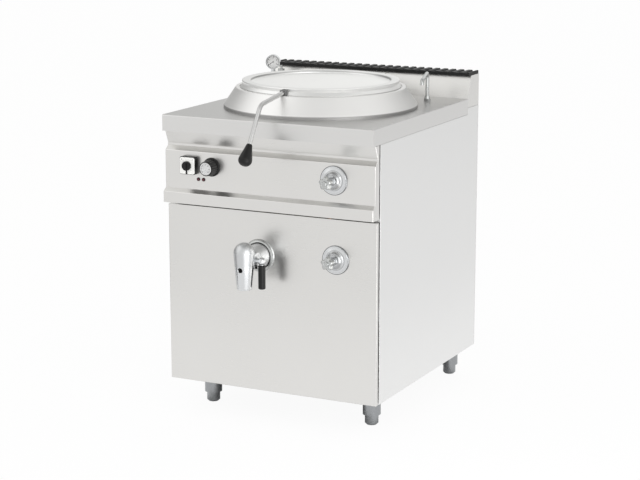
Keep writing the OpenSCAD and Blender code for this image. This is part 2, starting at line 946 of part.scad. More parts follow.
module jacket() {
  color(steel) seated() difference() {
    union() {
      at_pan() translate([0, 0, jacket_low]) cylinder(r = jacket_r, h = jacket_top - jacket_low);
      translate([0, pan_y + jacket_r + port_l, element_z]) rotate([90, 0, 0])
        cylinder(r = port_r, h = 2 * port_l);
    }
    at_pan() translate([0, 0, jacket_low + wall])
      cylinder(r = jacket_in, h = jacket_top - jacket_low - 2 * wall);
    at_pan() translate([0, 0, jacket_top - wall - over])
      cylinder(r = pan_out + fit, h = wall + 2 * over);
    translate([0, pan_y + jacket_r + port_l + over, element_z]) rotate([90, 0, 0])
      cylinder(r = port_r - port_wall, h = 2 * port_l + over - port_wall);
    facing(-tap_x, outlet_y, tap_z) cylinder(r = drain_r + fit, h = pan_r);
    sideways(-jacket_r - over, gauge_tap_y, gauge_run_z)
      cylinder(r = gauge_pipe_r + fit, h = jacket_r / 2);
  }
}

module insulation() {
  color(wool_tone) seated() difference() {
    at_pan() translate([0, 0, jacket_low - wool])
      cylinder(r = wool_r, h = wool_top - jacket_low + wool);
    at_pan() translate([0, 0, jacket_low - fit])
      cylinder(r = jacket_r + fit, h = wool_top - jacket_low + fit + over);
    facing(-tap_x, outlet_y, tap_z) cylinder(r = drain_r + fit, h = pan_r);
    translate([0, body_d, element_z]) rotate([90, 0, 0])
      cylinder(r = port_r + fit, h = body_d - pan_y - jacket_in / 2);
  }
}

module collar_profile() {
  t = collar_t;
  r = collar_round;
  foot_z = worktop_z + collar_foot;
  polygon(concat(
    [[lip_r, rim_z], [lip_r, collar_top], [collar_top_r - r / 2, collar_top]],
    [[collar_top_r, collar_top - r / 2]],
    [[collar_r - r / 2, foot_z + r / 2], [collar_r, foot_z - r / 2]],
    [[collar_r, worktop_z], [collar_r - t, worktop_z]],
    [[collar_r - t, foot_z - t], [rim_r + t, rim_z - t], [rim_r + fit, rim_z]]));
}

module pan_collar() {
  color(steel) seated() at_pan() rotate_extrude() collar_profile();
}

module heating_elements() {
  port_y = pan_y + jacket_r + port_l;
  color(copper) seated() {
    translate([0, port_y + port_t, element_z]) rotate([90, 0, 0])
      cylinder(r = port_r, h = port_t);
    for (i = [-1 : 1]) {
      for (side = [-1, 1])
        facing(i * hairpin_pitch + side * hairpin_r, port_y + over, element_z)
          cylinder(r = rod_tube_r, h = port_y + over - pan_y + hairpin_reach);
      translate([i * hairpin_pitch, pan_y - hairpin_reach, element_z])
        rotate([180, 0, 0]) rotate_extrude(angle = 180)
          translate([hairpin_r, 0]) circle(r = rod_tube_r);
    }
  }
}

module drain_strainer() {
  color(bright) seated() translate([-tap_x, outlet_y, pan_floor]) difference() {
    union() {
      cylinder(r = strainer_r, h = strainer_t);
      translate([0, 0, -wall]) cylinder(r = neck_pipe_in - fit, h = wall + strainer_t);
      cylinder(r = strainer_hole, h = strainer_t + strainer_lug);
      translate([0, 0, strainer_t + strainer_lug]) sphere(r = 2 * strainer_hole);
    }
    for (i = [0 : strainer_holes - 1]) rotate([0, 0, i * 360 / strainer_holes])
      translate([strainer_ring, 0, -wall - over])
        cylinder(r = strainer_hole, h = wall + strainer_t + 2 * over);
  }
}

module drain_pipe() {
  end_y = outlet_y + drain_r;
  color(steel) seated() difference() {
    union() {
      translate([-tap_x, outlet_y, tap_z])
        cylinder(r = neck_pipe_r, h = pan_floor - wall - tap_z);
      facing(-tap_x, end_y, tap_z) cylinder(r = drain_r, h = end_y - door_set);
    }
    translate([-tap_x, outlet_y, tap_z]) cylinder(r = neck_pipe_in, h = pan_floor);
    facing(-tap_x, end_y - drain_r + drain_in, tap_z) cylinder(r = drain_in, h = end_y);
  }
}

// Round cover pressed from sheet, its flat side on the plane where it is drawn: an
// outline in shares of its radius and height, with a hole for what passes through
module pressed_cover(shares, r_out, r_in, height) {
  outline = concat([[0, 0], [r_out, 0]], [for (s = shares) [s[0] * r_out, s[1] * height]],
                   [[0, height]]);
  difference() {
    rotate_extrude() polygon(outline);
    translate([0, 0, -plate_t]) rotate_extrude() polygon(outline);
    translate([0, 0, -over]) cylinder(r = r_in, h = height + 2 * over);
  }
}

module tap_flange() {
  color(bright) seated() facing(-tap_x, door_set, tap_z)
    pressed_cover(plate_shares, tap_plate_r, tap_neck_r + fit, plate_h);
}

module tap_body() {
  color(bright) seated() difference() {
    union() {
      facing(-tap_x, door_set, tap_z)
        cylinder(r1 = tap_neck_r, r2 = barrel_r - edge_r / 2, h = tap_neck_l);
      facing(-tap_x, door_set, tap_z) cylinder(r = barrel_r - edge_r, h = tap_reach);
      translate([-tap_x, tap_y, spout_top]) cylinder(r = barrel_r - seam, h = dome_z - spout_top);
      translate([-tap_x, tap_y, dome_z]) sphere(r = barrel_r);
      translate([-tap_x, tap_y, spout_z])
        cylinder(r1 = spout_r, r2 = barrel_r - edge_r, h = spout_top - spout_z);
      sideways(-tap_x, plug_y, tap_z) cylinder(r = boss_r, h = boss_l);
    }
    facing(-tap_x, door_set + over, tap_z) cylinder(r = tap_bore, h = tap_reach + over);
    translate([-tap_x, tap_y, spout_z - over]) cylinder(r = tap_bore, h = spout_l + tap_bore);
    translate([-tap_x, tap_y, spout_z - over]) cylinder(r = mouth_r, h = mouth_l + over);
    sideways(-tap_x - plug_l / 2 - play, plug_y, tap_z)
      cylinder(r = plug_r + play, h = 2 * plug_l);
    facing(-tap_x, tap_y - barrel_r + port_hole_depth, port_hole_z)
      cylinder(r = port_hole_r, h = 2 * port_hole_depth);
  }
}

module tap_plug() {
  color(bright) seated() difference() {
    union() {
      sideways(-tap_x - plug_l / 2, plug_y, tap_z)
        cylinder(r = plug_r, h = plug_l / 2 + boss_l - seam);
      sideways(-tap_x, plug_y, tap_z) cylinder(r = plug_stem_r, h = tap_plane - hub_r / 2);
    }
    translate([-tap_x, plug_y, tap_z - plug_r - over])
      cylinder(r = plug_bore, h = 2 * (plug_r + over));
  }
}

module tap_lever() {
  color(bright) seated() translate([lever_x, plug_y, tap_z]) difference() {
    union() {
      sphere(r = hub_r);
      translate([0, 0, -lever_hub]) cylinder(r = hub_r / 2, h = lever_hub);
    }
    sideways(-hub_r - over, 0, 0) cylinder(r = plug_stem_r + play, h = hub_r / 2 + over);
    facing(0, -hub_r + hub_screw_t, 0) cylinder(r = hub_screw_r, h = hub_r);
    translate([0, 0, -lever_hub - over]) cylinder(r = hub_r, h = over);
  }
}

module tap_grip() {
  color(black) seated() translate([lever_x, plug_y, tap_z - lever_hub - lever_l]) {
    translate([0, 0, edge_r]) cylinder(r = lever_r, h = lever_l - 2 * edge_r);
    cylinder(r1 = lever_r - edge_r, r2 = lever_r, h = edge_r);
    translate([0, 0, lever_l - edge_r]) cylinder(r1 = lever_r, r2 = lever_r - edge_r, h = edge_r);
  }
}

module switch_box() {
  w = plate_w;
  color(black) seated() facing(switch_x, panel_set, control_z) difference() {
    translate([-w / 2, -w / 2, 0]) cube([w, w, switch_box_l]);
    translate([0, 0, -over]) cylinder(r = shaft_r + shaft_gap, h = switch_box_l + 2 * over);
  }
}

module switch_plate() {
  w = plate_w - 2 * switch_edge;
  color(white) seated() facing(switch_x, panel_set - switch_box_l, control_z) difference() {
    translate([-w / 2, -w / 2, 0]) cube([w, w, switch_plate_t]);
    translate([0, 0, -over]) cylinder(r = shaft_r + shaft_gap, h = switch_plate_t + 2 * over);
  }
}

module switch_knob() {
  front = switch_box_l + switch_plate_t + seam;
  color(black) seated() facing(switch_x, panel_set, control_z) {
    translate([0, 0, front]) cylinder(r = switch_knob_r, h = switch_knob_l);
    translate([-switch_bar_w / 2, -switch_knob_r + edge_r, front])
      cube([switch_bar_w, 2 * (switch_knob_r - edge_r), switch_knob_l + switch_bar_h]);
    translate([0, 0, -shaft_l]) cylinder(r = shaft_r, h = front + shaft_l + over);
  }
}

// Square box behind the panel that a knob's shaft turns in
module shaft_block(x) {
  color(grey) seated() facing(x, panel_set + sheet + block_l, control_z) difference() {
    translate([-block_w / 2, -block_w / 2, 0]) cube([block_w, block_w, block_l]);
    translate([0, 0, block_l - shaft_l]) cylinder(r = shaft_r + play, h = shaft_l + over);
  }
}

module switch_block() {
  shaft_block(switch_x);
}

module regulator_block() {
  shaft_block(regulator_x);
}

module regulator_knob() {
  color(black) seated() facing(regulator_x, panel_set, control_z) {
    translate([0, 0, seam]) cylinder(r = regulator_r, h = regulator_skirt);
    difference() {
      translate([0, 0, seam + regulator_skirt / 2])
        cylinder(r1 = regulator_neck_r, r2 = regulator_tip_r, h = regulator_l - regulator_skirt / 2);
      for (i = [0 : regulator_grooves - 1])
        rotate([0, 0, i * 360 / regulator_grooves])
          translate([regulator_neck_r, 0, 2 * regulator_skirt])
            rotate([0, atan2(regulator_tip_r - regulator_neck_r, regulator_l), 0])
              cylinder(r = regulator_groove, h = regulator_l);
    }
    translate([0, 0, -shaft_l]) cylinder(r = shaft_r, h = shaft_l + regulator_skirt);
  }
}

module regulator_disc() {
  color(bright) seated() facing(regulator_x, panel_set - seam - regulator_l, control_z)
    cylinder(r = regulator_disc_r, h = regulator_disc_t);
}

module pilot_lamps() {
  color(lamp_tone) seated() for (side = [-1, 1])
    facing(lamp_x + side * lamp_pitch / 2, panel_set, lamp_z) {
      translate([0, 0, -lamp_body_l]) cylinder(r = lamp_r, h = lamp_body_l + lamp_out);
      translate([0, 0, lamp_out]) cylinder(r1 = lamp_r, r2 = lamp_r - lamp_dome, h = lamp_dome);
      translate([0, 0, -lamp_body_l - sheet]) cylinder(r = lamp_r + lamp_dome, h = lamp_body_l);
    }
}

module valve_rosettes() {
  color(bright) seated() {
    facing(valve_x, panel_set, upper_z)
      pressed_cover(rosette_shares, rosette_r, neck_r + fit, rosette_h);
    facing(valve_x, door_set, lower_z)
      pressed_cover(rosette_shares, rosette_r, neck_r + fit, rosette_h);
  }
}

module valve_body(y_face, z) {
  tail = tail_y - y_face - sheet;
  facing(valve_x, y_face, z) difference() {
    union() {
      cylinder(r = neck_r, h = neck_l);
      translate([-tail_w / 2, -tail_w / 2, -sheet - tail]) cube([tail_w, tail_w, tail]);
      translate([0, 0, -2 * sheet]) cylinder(r = neck_r - seam, h = neck_l);
      translate([0, 0, neck_l]) cylinder(r1 = neck_r - edge_r, r2 = stem_r + edge_r, h = edge_r);
    }
    translate([0, 0, neck_l - stem_sunk])
      cylinder(r = stem_r + play, h = stem_sunk + edge_r + over);
  }
}

module valve_bodies() {
  color(bright) seated() {
    valve_body(panel_set, upper_z);
    valve_body(door_set, lower_z);
  }
}

module valve_knob(y_face, z) {
  start = neck_l + edge_r + seam;
  lobe = lobe_r * lobe_share;
  color(bright) seated() facing(valve_x, y_face, z) {
    translate([0, 0, start]) cylinder(r = lobe_r - lobe / 2, h = lobe_l);
    for (i = [0 : lobes - 1]) rotate([0, 0, 90 + i * 360 / lobes])
      translate([lobe_r - lobe, 0, start + edge_r]) cylinder(r = lobe, h = lobe_l - 2 * edge_r);
    translate([0, 0, neck_l - stem_sunk + over])
      cylinder(r = stem_r, h = stem_sunk + edge_r + seam);
    translate([0, 0, start + lobe_l - over]) cylinder(r = screw_r, h = screw_t + over);
  }
}

module upper_valve_knob() {
  valve_knob(panel_set, upper_z);
}

module lower_valve_knob() {
  valve_knob(door_set, lower_z);
}

module water_pipes() {
  out_y = tail_y - tail_w / 2;
  run_y = tail_y + pipe_back;
  riser_x = valve_x - tail_w / 2 - pipe_side;
  color(copper) seated() difference() {
    union() {
      for (z = [upper_z, lower_z]) {
        pipe_run([[valve_x, tail_y, z], [valve_x, run_y, z], [pipe_x, run_y, z],
                  [pipe_x, body_d, z]], pipe_r, elbow_r);
        facing(pipe_x, body_d + inlet_out, z) cylinder(r = inlet_r, h = inlet_l);
      }
      pipe_run([[valve_x - tail_w / 2, out_y, lower_z], [riser_x, out_y, lower_z],
                [riser_x, out_y, pipe_run_z], [pipe_x, out_y, pipe_run_z],
                [pipe_x, filler_y, pipe_run_z], [filler_x, filler_y, pipe_run_z],
                [filler_x, filler_y, worktop_z - filler_stub_l]],
               pipe_r, elbow_r);
      leg_between([valve_x, out_y, upper_z + tail_w / 2], [valve_x, out_y, pipe_run_z], pipe_r);
      translate([valve_x, out_y, pipe_run_z]) sphere(r = elbow_r);
    }
    for (z = [upper_z, lower_z])
      facing(pipe_x, body_d + inlet_out + over, z)
        cylinder(r = pipe_r - pipe_wall, h = 2 * inlet_out);
  }
}

module filler_base() {
  color(bright) seated() translate([filler_x, filler_y, worktop_z]) difference() {
    union() {
      cylinder(r = filler_base_r, h = filler_base_h / 2, $fn = hex_sides);
      translate([0, 0, filler_base_h / 2 - seam])
        cylinder(r1 = filler_base_r - edge_r, r2 = filler_r + edge_r,
                 h = filler_base_h / 2 + seam);
      translate([0, 0, -filler_stub_l]) cylinder(r = filler_stub_r - seam, h = filler_stub_l + over);
    }
    translate([0, 0, -filler_stub_l - over])
      cylinder(r = filler_r - filler_wall, h = 2 * filler_stub_l + filler_base_h);
    translate([0, 0, filler_base_h - filler_sunk])
      cylinder(r = filler_r + play, h = filler_sunk + over);
  }
}

// Round bend that starts at the origin along z and turns towards x
module bend(r_bend, angle, r) {
  translate([r_bend, 0, 0]) rotate([90, 0, 0]) rotate([0, 0, 180 - angle])
    rotate_extrude(angle = angle) translate([r_bend, 0]) circle(r = r + swell);
}

// Straight tube along z that runs into the bends before and after it
module straight(length, r, before, after) {
  translate([0, 0, -before]) cylinder(r = r, h = length + before + after);
}

// The filler's tube: up, over and down along x
module filler_route(r, extra) {
  turn = 90 + filler_dip;
  end_turn = 90 - filler_dip;
  b = filler_bend;
  e = filler_end_bend;
  arm = (filler_reach - b * (1 - cos(turn)) - e * sin(end_turn)) / cos(filler_dip);
  rise = filler_h - filler_r - b - filler_base_h + filler_sunk;
  straight(rise, r, extra, lap);
  translate([0, 0, rise]) {
    bend(b, turn, r);
    translate([b * (1 - cos(turn)), 0, b * sin(turn)]) rotate([0, turn, 0]) {
      straight(arm, r, lap, lap);
      translate([0, 0, arm]) {
        bend(e, end_turn, r);
        translate([e * (1 - cos(end_turn)), 0, e * sin(end_turn)]) rotate([0, end_turn, 0])
          straight(filler_end, r, lap, extra);
      }
    }
  }
}

module filler_spout() {
  color(bright) seated()
    translate([filler_x, filler_y, worktop_z + filler_base_h - filler_sunk])
      rotate([0, 0, filler_turn - 90]) difference() {
        filler_route(filler_r, 0);
        filler_route(filler_r - filler_wall, over);
      }
}

module gauge_pipe() {
  entry = sqrt(jacket_r * jacket_r - (gauge_tap_y - pan_y) * (gauge_tap_y - pan_y));
  color(bright) seated() {
    pipe_run([[wall + gauge_pipe_r - entry, gauge_tap_y, gauge_run_z],
              [gauge_x, gauge_tap_y, gauge_run_z], [gauge_x, gauge_y, gauge_run_z],
              [gauge_x, gauge_y, gauge_z - gauge_r - gauge_boss_l]],
             gauge_pipe_r, gauge_boss_r);
    pipe_run([[gauge_x, gauge_y, gauge_run_z], [gauge_x + valve_gap, gauge_y, gauge_run_z],
              [gauge_x + valve_gap, gauge_y, worktop_z]], gauge_pipe_r, gauge_boss_r);
  }
}

// Places the gauge's round pieces, drawn along z with the dial towards z
module at_gauge(depth) {
  translate([gauge_x, gauge_y, gauge_z]) rotate([0, 0, gauge_turn]) rotate([90, 0, 0])
    translate([0, 0, depth]) children();
}

module gauge_case() {
  color(bright) seated() difference() {
    union() {
      at_gauge(-gauge_t / 2) cylinder(r = gauge_r, h = gauge_t);
      translate([gauge_x, gauge_y, gauge_z - gauge_r - gauge_boss_l])
        cylinder(r = gauge_boss_r, h = gauge_boss_l + gauge_wall);
    }
    at_gauge(gauge_wall - gauge_t / 2) cylinder(r = gauge_r - gauge_wall, h = gauge_t);
  }
}

module gauge_dial() {
  color(white) seated() at_gauge(gauge_wall - gauge_t / 2) difference() {
    cylinder(r = gauge_r - gauge_wall - play, h = dial_h);
    translate([0, 0, dial_h - 2 * needle_pin])
      cylinder(r = needle_pin + play, h = 2 * needle_pin + over);
  }
}

module gauge_pointer() {
  base = gauge_wall - gauge_t / 2 + dial_h;
  color(black) seated() at_gauge(base) {
    translate([0, 0, play - 2 * needle_pin + over / 2])
      cylinder(r = needle_pin, h = 2 * needle_pin);
    translate([0, 0, seam]) cylinder(r = needle_hub, h = 2 * needle_t);
    rotate([0, 0, needle_rest]) translate([-needle_w / 2, -needle_hub, seam])
      cube([needle_w, gauge_r - 2 * gauge_wall, needle_t]);
  }
}

module gauge_glass() {
  color(glass_tone) seated() at_gauge(gauge_t / 2 - gauge_wall)
    cylinder(r = gauge_r - gauge_wall - play, h = glass_t);
}

module safety_valve() {
  color(bright) seated() translate([gauge_x + valve_gap, gauge_y, worktop_z]) {
    cylinder(r = relief_r, h = relief_hex_h, $fn = hex_sides);
    cylinder(r = relief_r - edge_r, h = relief_h);
    translate([0, 0, relief_h - seam]) cylinder(r = relief_cap_r, h = relief_cap_h);
    translate([0, 0, relief_h + relief_cap_h - 2 * seam])
      cylinder(r = relief_stem_r, h = relief_stem_h);
  }
}

// Lid's skin: each point's radius, height and the way its thickness goes
function lid_rows() = [
  [0, recess_z + recess_crown, 0, -1],
  [recess_r - 2 * lid_round, recess_z, 0, -1],
  [recess_r - lid_round / 2, recess_z + lid_round / 2, lean_even, -lean_even],
  [recess_r, lid_top - lid_round, 1, -lean_low],
  [recess_r + lid_round / 2, lid_top - lid_round * corner_share, lean_steep, -lean_steep],
  [recess_r + lid_round, lid_top, lean_low, -1],
  [lid_r - lid_round, lid_top, -lean_low, -1],
  [lid_r - lid_round * corner_share, lid_top - lid_round * corner_share,
   -lean_steep, -lean_steep],
  [lid_r, lid_top - lid_round, -1, -lean_low],
  [lid_waist_r, waist_z, -1, 0],
  [lid_flange_r, lid_low + flange_h, -1, 0],
  [lid_flange_r, lid_low, -1, 0]];

module lid_shell() {
  rows = lid_rows();
  last = len(rows) - 1;
  color(steel) seated() at_pan() rotate_extrude() polygon(concat(
    [for (p = rows) [p[0], p[1]]],
    [for (i = [last : -1 : 0]) let(p = rows[i])
     [p[0] + lid_t * p[2], p[1] + lid_t * p[3]]]));
}

module lid_liner() {
  color(steel) seated() at_pan() translate([0, 0, liner_z])
    cylinder(r = lid_waist_r - lid_t - fit, h = lid_t);
}

module lid_gasket() {
  color(black) seated() at_pan() translate([0, 0, rim_z + fit])
    tube(gasket_out, gasket_in, gasket_t);
}

// The space that the lid takes up, for cutting what is fastened to its side
module lid_space() {
  at_pan() rotate_extrude($fn = wide_fn) polygon([
    [0, rim_z], [lid_flange_r + play, rim_z], [lid_flange_r + play, lid_low + flange_h],
    [lid_waist_r + play, waist_z], [lid_r + play, lid_top - lid_round],
    [lid_r + play, lid_top + lid_h], [0, lid_top + lid_h]]);
}

module lid_bracket() {
  color(iron) seated() difference() {
    translate([-socket_w / 2, pan_y - lid_flange_r - socket_l, socket_low])
      cube([socket_w, socket_l + lid_flange_r - lid_waist_r, socket_h]);
    lid_space();
    translate([0, rod_y, rod_z]) rotate([90 + rod_slope, 0, 0])
      translate([0, 0, -2 * over]) cylinder(r = rod_r + play, h = 2 * socket_l);
  }
}

// The handle's route, drawn from its start: down the slope, round and down
module handle_route(r) {
  upper = rod_reach - bend_cut;
  lower = rod_fall - bend_cut + rod_sunk;
  translate([0, rod_y, rod_z]) rotate([90 + rod_slope, 0, 0]) rotate([0, 0, -90]) {
    straight(upper, r, 0, lap);
    translate([0, 0, upper]) {
      bend(rod_bend, bend_angle, r);
      translate([rod_bend * (1 - cos(bend_angle)), 0, rod_bend * sin(bend_angle)])
        rotate([0, bend_angle, 0]) straight(lower, r, lap, 0);
    }
  }
}

module lid_handle() {
  color(bright) seated() handle_route(rod_r);
}

module lid_grip() {
  color(black) seated() translate([0, grip_y, grip_z]) rotate([90 + rod_drop, 0, 0])
    difference() {
      rotate_extrude() polygon(concat([[0, 0]], grip_points, [[0, grip_l]]));
      translate([0, 0, -over]) cylinder(r = rod_r + play, h = rod_sunk + over + play);
    }
}

module lid_hinge() {
  reach = hinge_y - pan_y - lid_waist_r;
  color(bright) seated() difference() {
    for (side = [-1, 1]) {
      sideways(side * knuckle_x - knuckle_w / 2, hinge_y, hinge_z)
        cylinder(r = knuckle_barrel_r, h = knuckle_w);
      translate([side * knuckle_x - knuckle_w / 2 + edge_r, hinge_y - reach - 2 * knuckle_w,
                 arm_low])
        cube([knuckle_w - 2 * edge_r, reach + 2 * knuckle_w, arm_top - arm_low]);
    }
    sideways(-pin_l / 2, hinge_y, hinge_z) cylinder(r = pin_r + pin_play, h = pin_l);
    lid_space();
  }
}

module hinge_pin() {
  color(bright) seated() sideways(-pin_l / 2, hinge_y, hinge_z)
    cylinder(r = pin_r, h = pin_l);
}

// One ear of the hinge, its eye round the pin
module hinge_ear(x) {
  base = ear_base_y;
  difference() {
    union() {
      translate([x, 0, 0]) along_x(ear_t) polygon([
        [base, worktop_z], [base + ear_base_d, worktop_z],
        [base + ear_base_d, worktop_z + 2 * ear_r], [hinge_y + ear_r - 2 * play, hinge_z],
        [hinge_y - ear_r / 2, hinge_z - ear_r / 2]]);
      sideways(x - ear_t / 2, hinge_y, hinge_z) cylinder(r = ear_r, h = ear_t);
    }
    sideways(x - ear_t, hinge_y, hinge_z) cylinder(r = pin_r + play, h = 2 * ear_t);
  }
}

module hinge_brackets() {
  color(bright) seated() {
    for (side = [-1, 1], end = [-1, 1]) hinge_ear(side * knuckle_x + end * ear_shift);
    translate([-ear_base_l / 2, ear_base_y, worktop_z])
      cube([ear_base_l, ear_base_d, ear_base_t]);
  }
}

module at_leg(side, y) {
  translate([side * leg_x, y, 0]) children();
}

module legs() {
  color(grey) seated() for (side = [-1, 1], y = [leg_front, leg_back_y])
    at_leg(side, y) difference() {
      translate([0, 0, leg_low]) cylinder(r = leg_r, h = tray_z - leg_low);
      translate([0, 0, leg_low - over])
        cylinder(r = thread_r + play, h = thread_l + thread_room + over);
    }
}

module foot(side, y) {
  color(grey) seated() at_leg(side, y) {
    cylinder(r1 = foot_r - foot_chamfer, r2 = foot_r, h = foot_chamfer);
    translate([0, 0, foot_chamfer]) cylinder(r = foot_r, h = foot_h - foot_chamfer);
    translate([0, 0, foot_chamfer]) cylinder(r = thread_r, h = leg_low + thread_l - foot_chamfer);
  }
}

module foot_front_left() {
  foot(-1, leg_front);
}

module foot_front_right() {
  foot(1, leg_front);
}

module foot_back_left() {
  foot(-1, leg_back_y);
}

module foot_back_right() {
  foot(1, leg_back_y);
}

module terminal_block() {
  color(white) seated()
    translate([-supply_x - terminal_w / 2, slab_y - terminal_back, tray_top])
      cube([terminal_w, terminal_d, terminal_h]);
}

module cable_gland() {
  color(black) seated() facing(-supply_x, body_d + gland_out, supply_z) difference() {
    union() {
      cylinder(r = gland_r, h = gland_out, $fn = hex_sides);
      cylinder(r = gland_r - edge_r - fit, h = gland_l);
      translate([0, 0, gland_out + sheet])
        cylinder(r = gland_r, h = gland_l - gland_out - sheet, $fn = hex_sides);
    }
    translate([0, 0, -over]) cylinder(r = gland_bore, h = gland_l + 2 * over);
  }
}

worktop();
upstand();
flue_grille();
control_panel();
front_panel();
side_panel_left();
side_panel_right();
back_panel();
base_tray();
frame();
pan_vessel();
jacket();
insulation();
pan_collar();
heating_elements();
drain_strainer();
drain_pipe();
tap_flange();
tap_body();
tap_plug();
tap_lever();
tap_grip();
switch_box();
switch_plate();
switch_knob();
switch_block();
regulator_knob();
regulator_disc();
regulator_block();
pilot_lamps();
valve_rosettes();
valve_bodies();
upper_valve_knob();
lower_valve_knob();
water_pipes();
filler_base();
filler_spout();
gauge_pipe();
gauge_case();
gauge_dial();
gauge_pointer();
gauge_glass();
safety_valve();
lid_shell();
lid_liner();
lid_gasket();
lid_bracket();
lid_handle();
lid_grip();
lid_hinge();
hinge_pin();
hinge_brackets();
legs();
foot_front_left();
foot_front_right();
foot_back_left();
foot_back_right();
terminal_block();
cable_gland();
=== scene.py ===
# %% [markdown]
# # A boiling pan in stainless steel
# The cabinet, the pan and the moving parts come in as a finished frame. This
# lesson dresses that frame: it places a camera and soft lights, makes the
# finishes from noise, and builds the few small pieces whose rounded forms need
# finer surfaces than the frame has.

import math

import bmesh
import bpy
import numpy as np
from mathutils import Matrix, Vector


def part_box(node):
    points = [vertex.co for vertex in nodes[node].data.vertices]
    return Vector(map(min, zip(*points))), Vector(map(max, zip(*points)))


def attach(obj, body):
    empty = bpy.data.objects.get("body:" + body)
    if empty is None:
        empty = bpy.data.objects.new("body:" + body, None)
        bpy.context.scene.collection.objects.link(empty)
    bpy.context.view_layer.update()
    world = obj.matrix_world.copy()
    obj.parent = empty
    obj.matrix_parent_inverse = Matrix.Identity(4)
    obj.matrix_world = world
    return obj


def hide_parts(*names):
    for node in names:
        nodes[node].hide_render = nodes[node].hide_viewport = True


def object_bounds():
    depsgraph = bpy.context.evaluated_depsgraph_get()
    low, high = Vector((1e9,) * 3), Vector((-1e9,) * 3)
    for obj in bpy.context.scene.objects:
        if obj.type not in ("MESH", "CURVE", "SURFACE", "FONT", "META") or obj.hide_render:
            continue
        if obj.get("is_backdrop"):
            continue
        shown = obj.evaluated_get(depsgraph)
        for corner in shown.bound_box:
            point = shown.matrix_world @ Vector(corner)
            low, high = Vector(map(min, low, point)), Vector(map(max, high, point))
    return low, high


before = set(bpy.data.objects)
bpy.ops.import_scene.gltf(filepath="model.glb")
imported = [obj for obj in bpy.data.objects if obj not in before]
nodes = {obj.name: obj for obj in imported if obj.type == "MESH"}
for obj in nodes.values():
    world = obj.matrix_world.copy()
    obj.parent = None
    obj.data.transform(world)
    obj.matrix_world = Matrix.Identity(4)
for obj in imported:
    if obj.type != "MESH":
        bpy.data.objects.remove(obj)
cad_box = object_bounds()
MM = 0.001


def middle(node):
    """The centre of a frame piece's box."""
    low, high = (np.array(corner, float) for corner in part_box(node))
    return (low + high) / 2


def low_high(node):
    """The two corners of a frame piece's box, as arrays."""
    low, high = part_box(node)
    return np.array(low, float), np.array(high, float)


# %% [markdown]
# ## Camera
# The picture was taken from the right of the front and a little above, from
# about five metres. A long lens keeps the cabinet's edges nearly parallel. The
# camera's back points along the view's direction turned by azimuth and
# elevation, so its matrix comes straight from those two angles.

# %% Camera
AZIMUTH, ELEVATION = math.radians(26.33), math.radians(12.217)
FOCAL_PX = 1853.5
PICTURE_W = 640
WORKTOP_FRONT = float(low_high("worktop")[0][1])
CAMERA_PLACE = Vector((2.31056, WORKTOP_FRONT - 4.33653, 1.59059))

camera_data = bpy.data.cameras.new("camera")
camera_data.sensor_width = 36.0
camera_data.lens = FOCAL_PX / PICTURE_W * camera_data.sensor_width
camera_data.clip_start, camera_data.clip_end = 0.1, 60.0
camera = bpy.data.objects.new("camera", camera_data)
bpy.context.collection.objects.link(camera)
back = Vector((math.sin(AZIMUTH) * math.cos(ELEVATION),
               -math.cos(AZIMUTH) * math.cos(ELEVATION), math.sin(ELEVATION)))
right = Vector((0, 0, 1)).cross(back).normalized()
up = back.cross(right)
turned = Matrix((right, up, back)).transposed().to_4x4()
camera.matrix_world = Matrix.Translation(CAMERA_PLACE) @ turned
bpy.context.scene.camera = camera
bpy.context.scene.view_settings.view_transform = "Standard"
print("camera at", [round(v, 3) for v in CAMERA_PLACE])

# %% [markdown]
# ## Shader sums
# Each finish is a small calculation on noise. Writing those as Python sums is
# easier to read than wiring nodes by hand, so a thin class wraps a socket: an
# operator adds the Math node that does the same, and `node` adds any other.


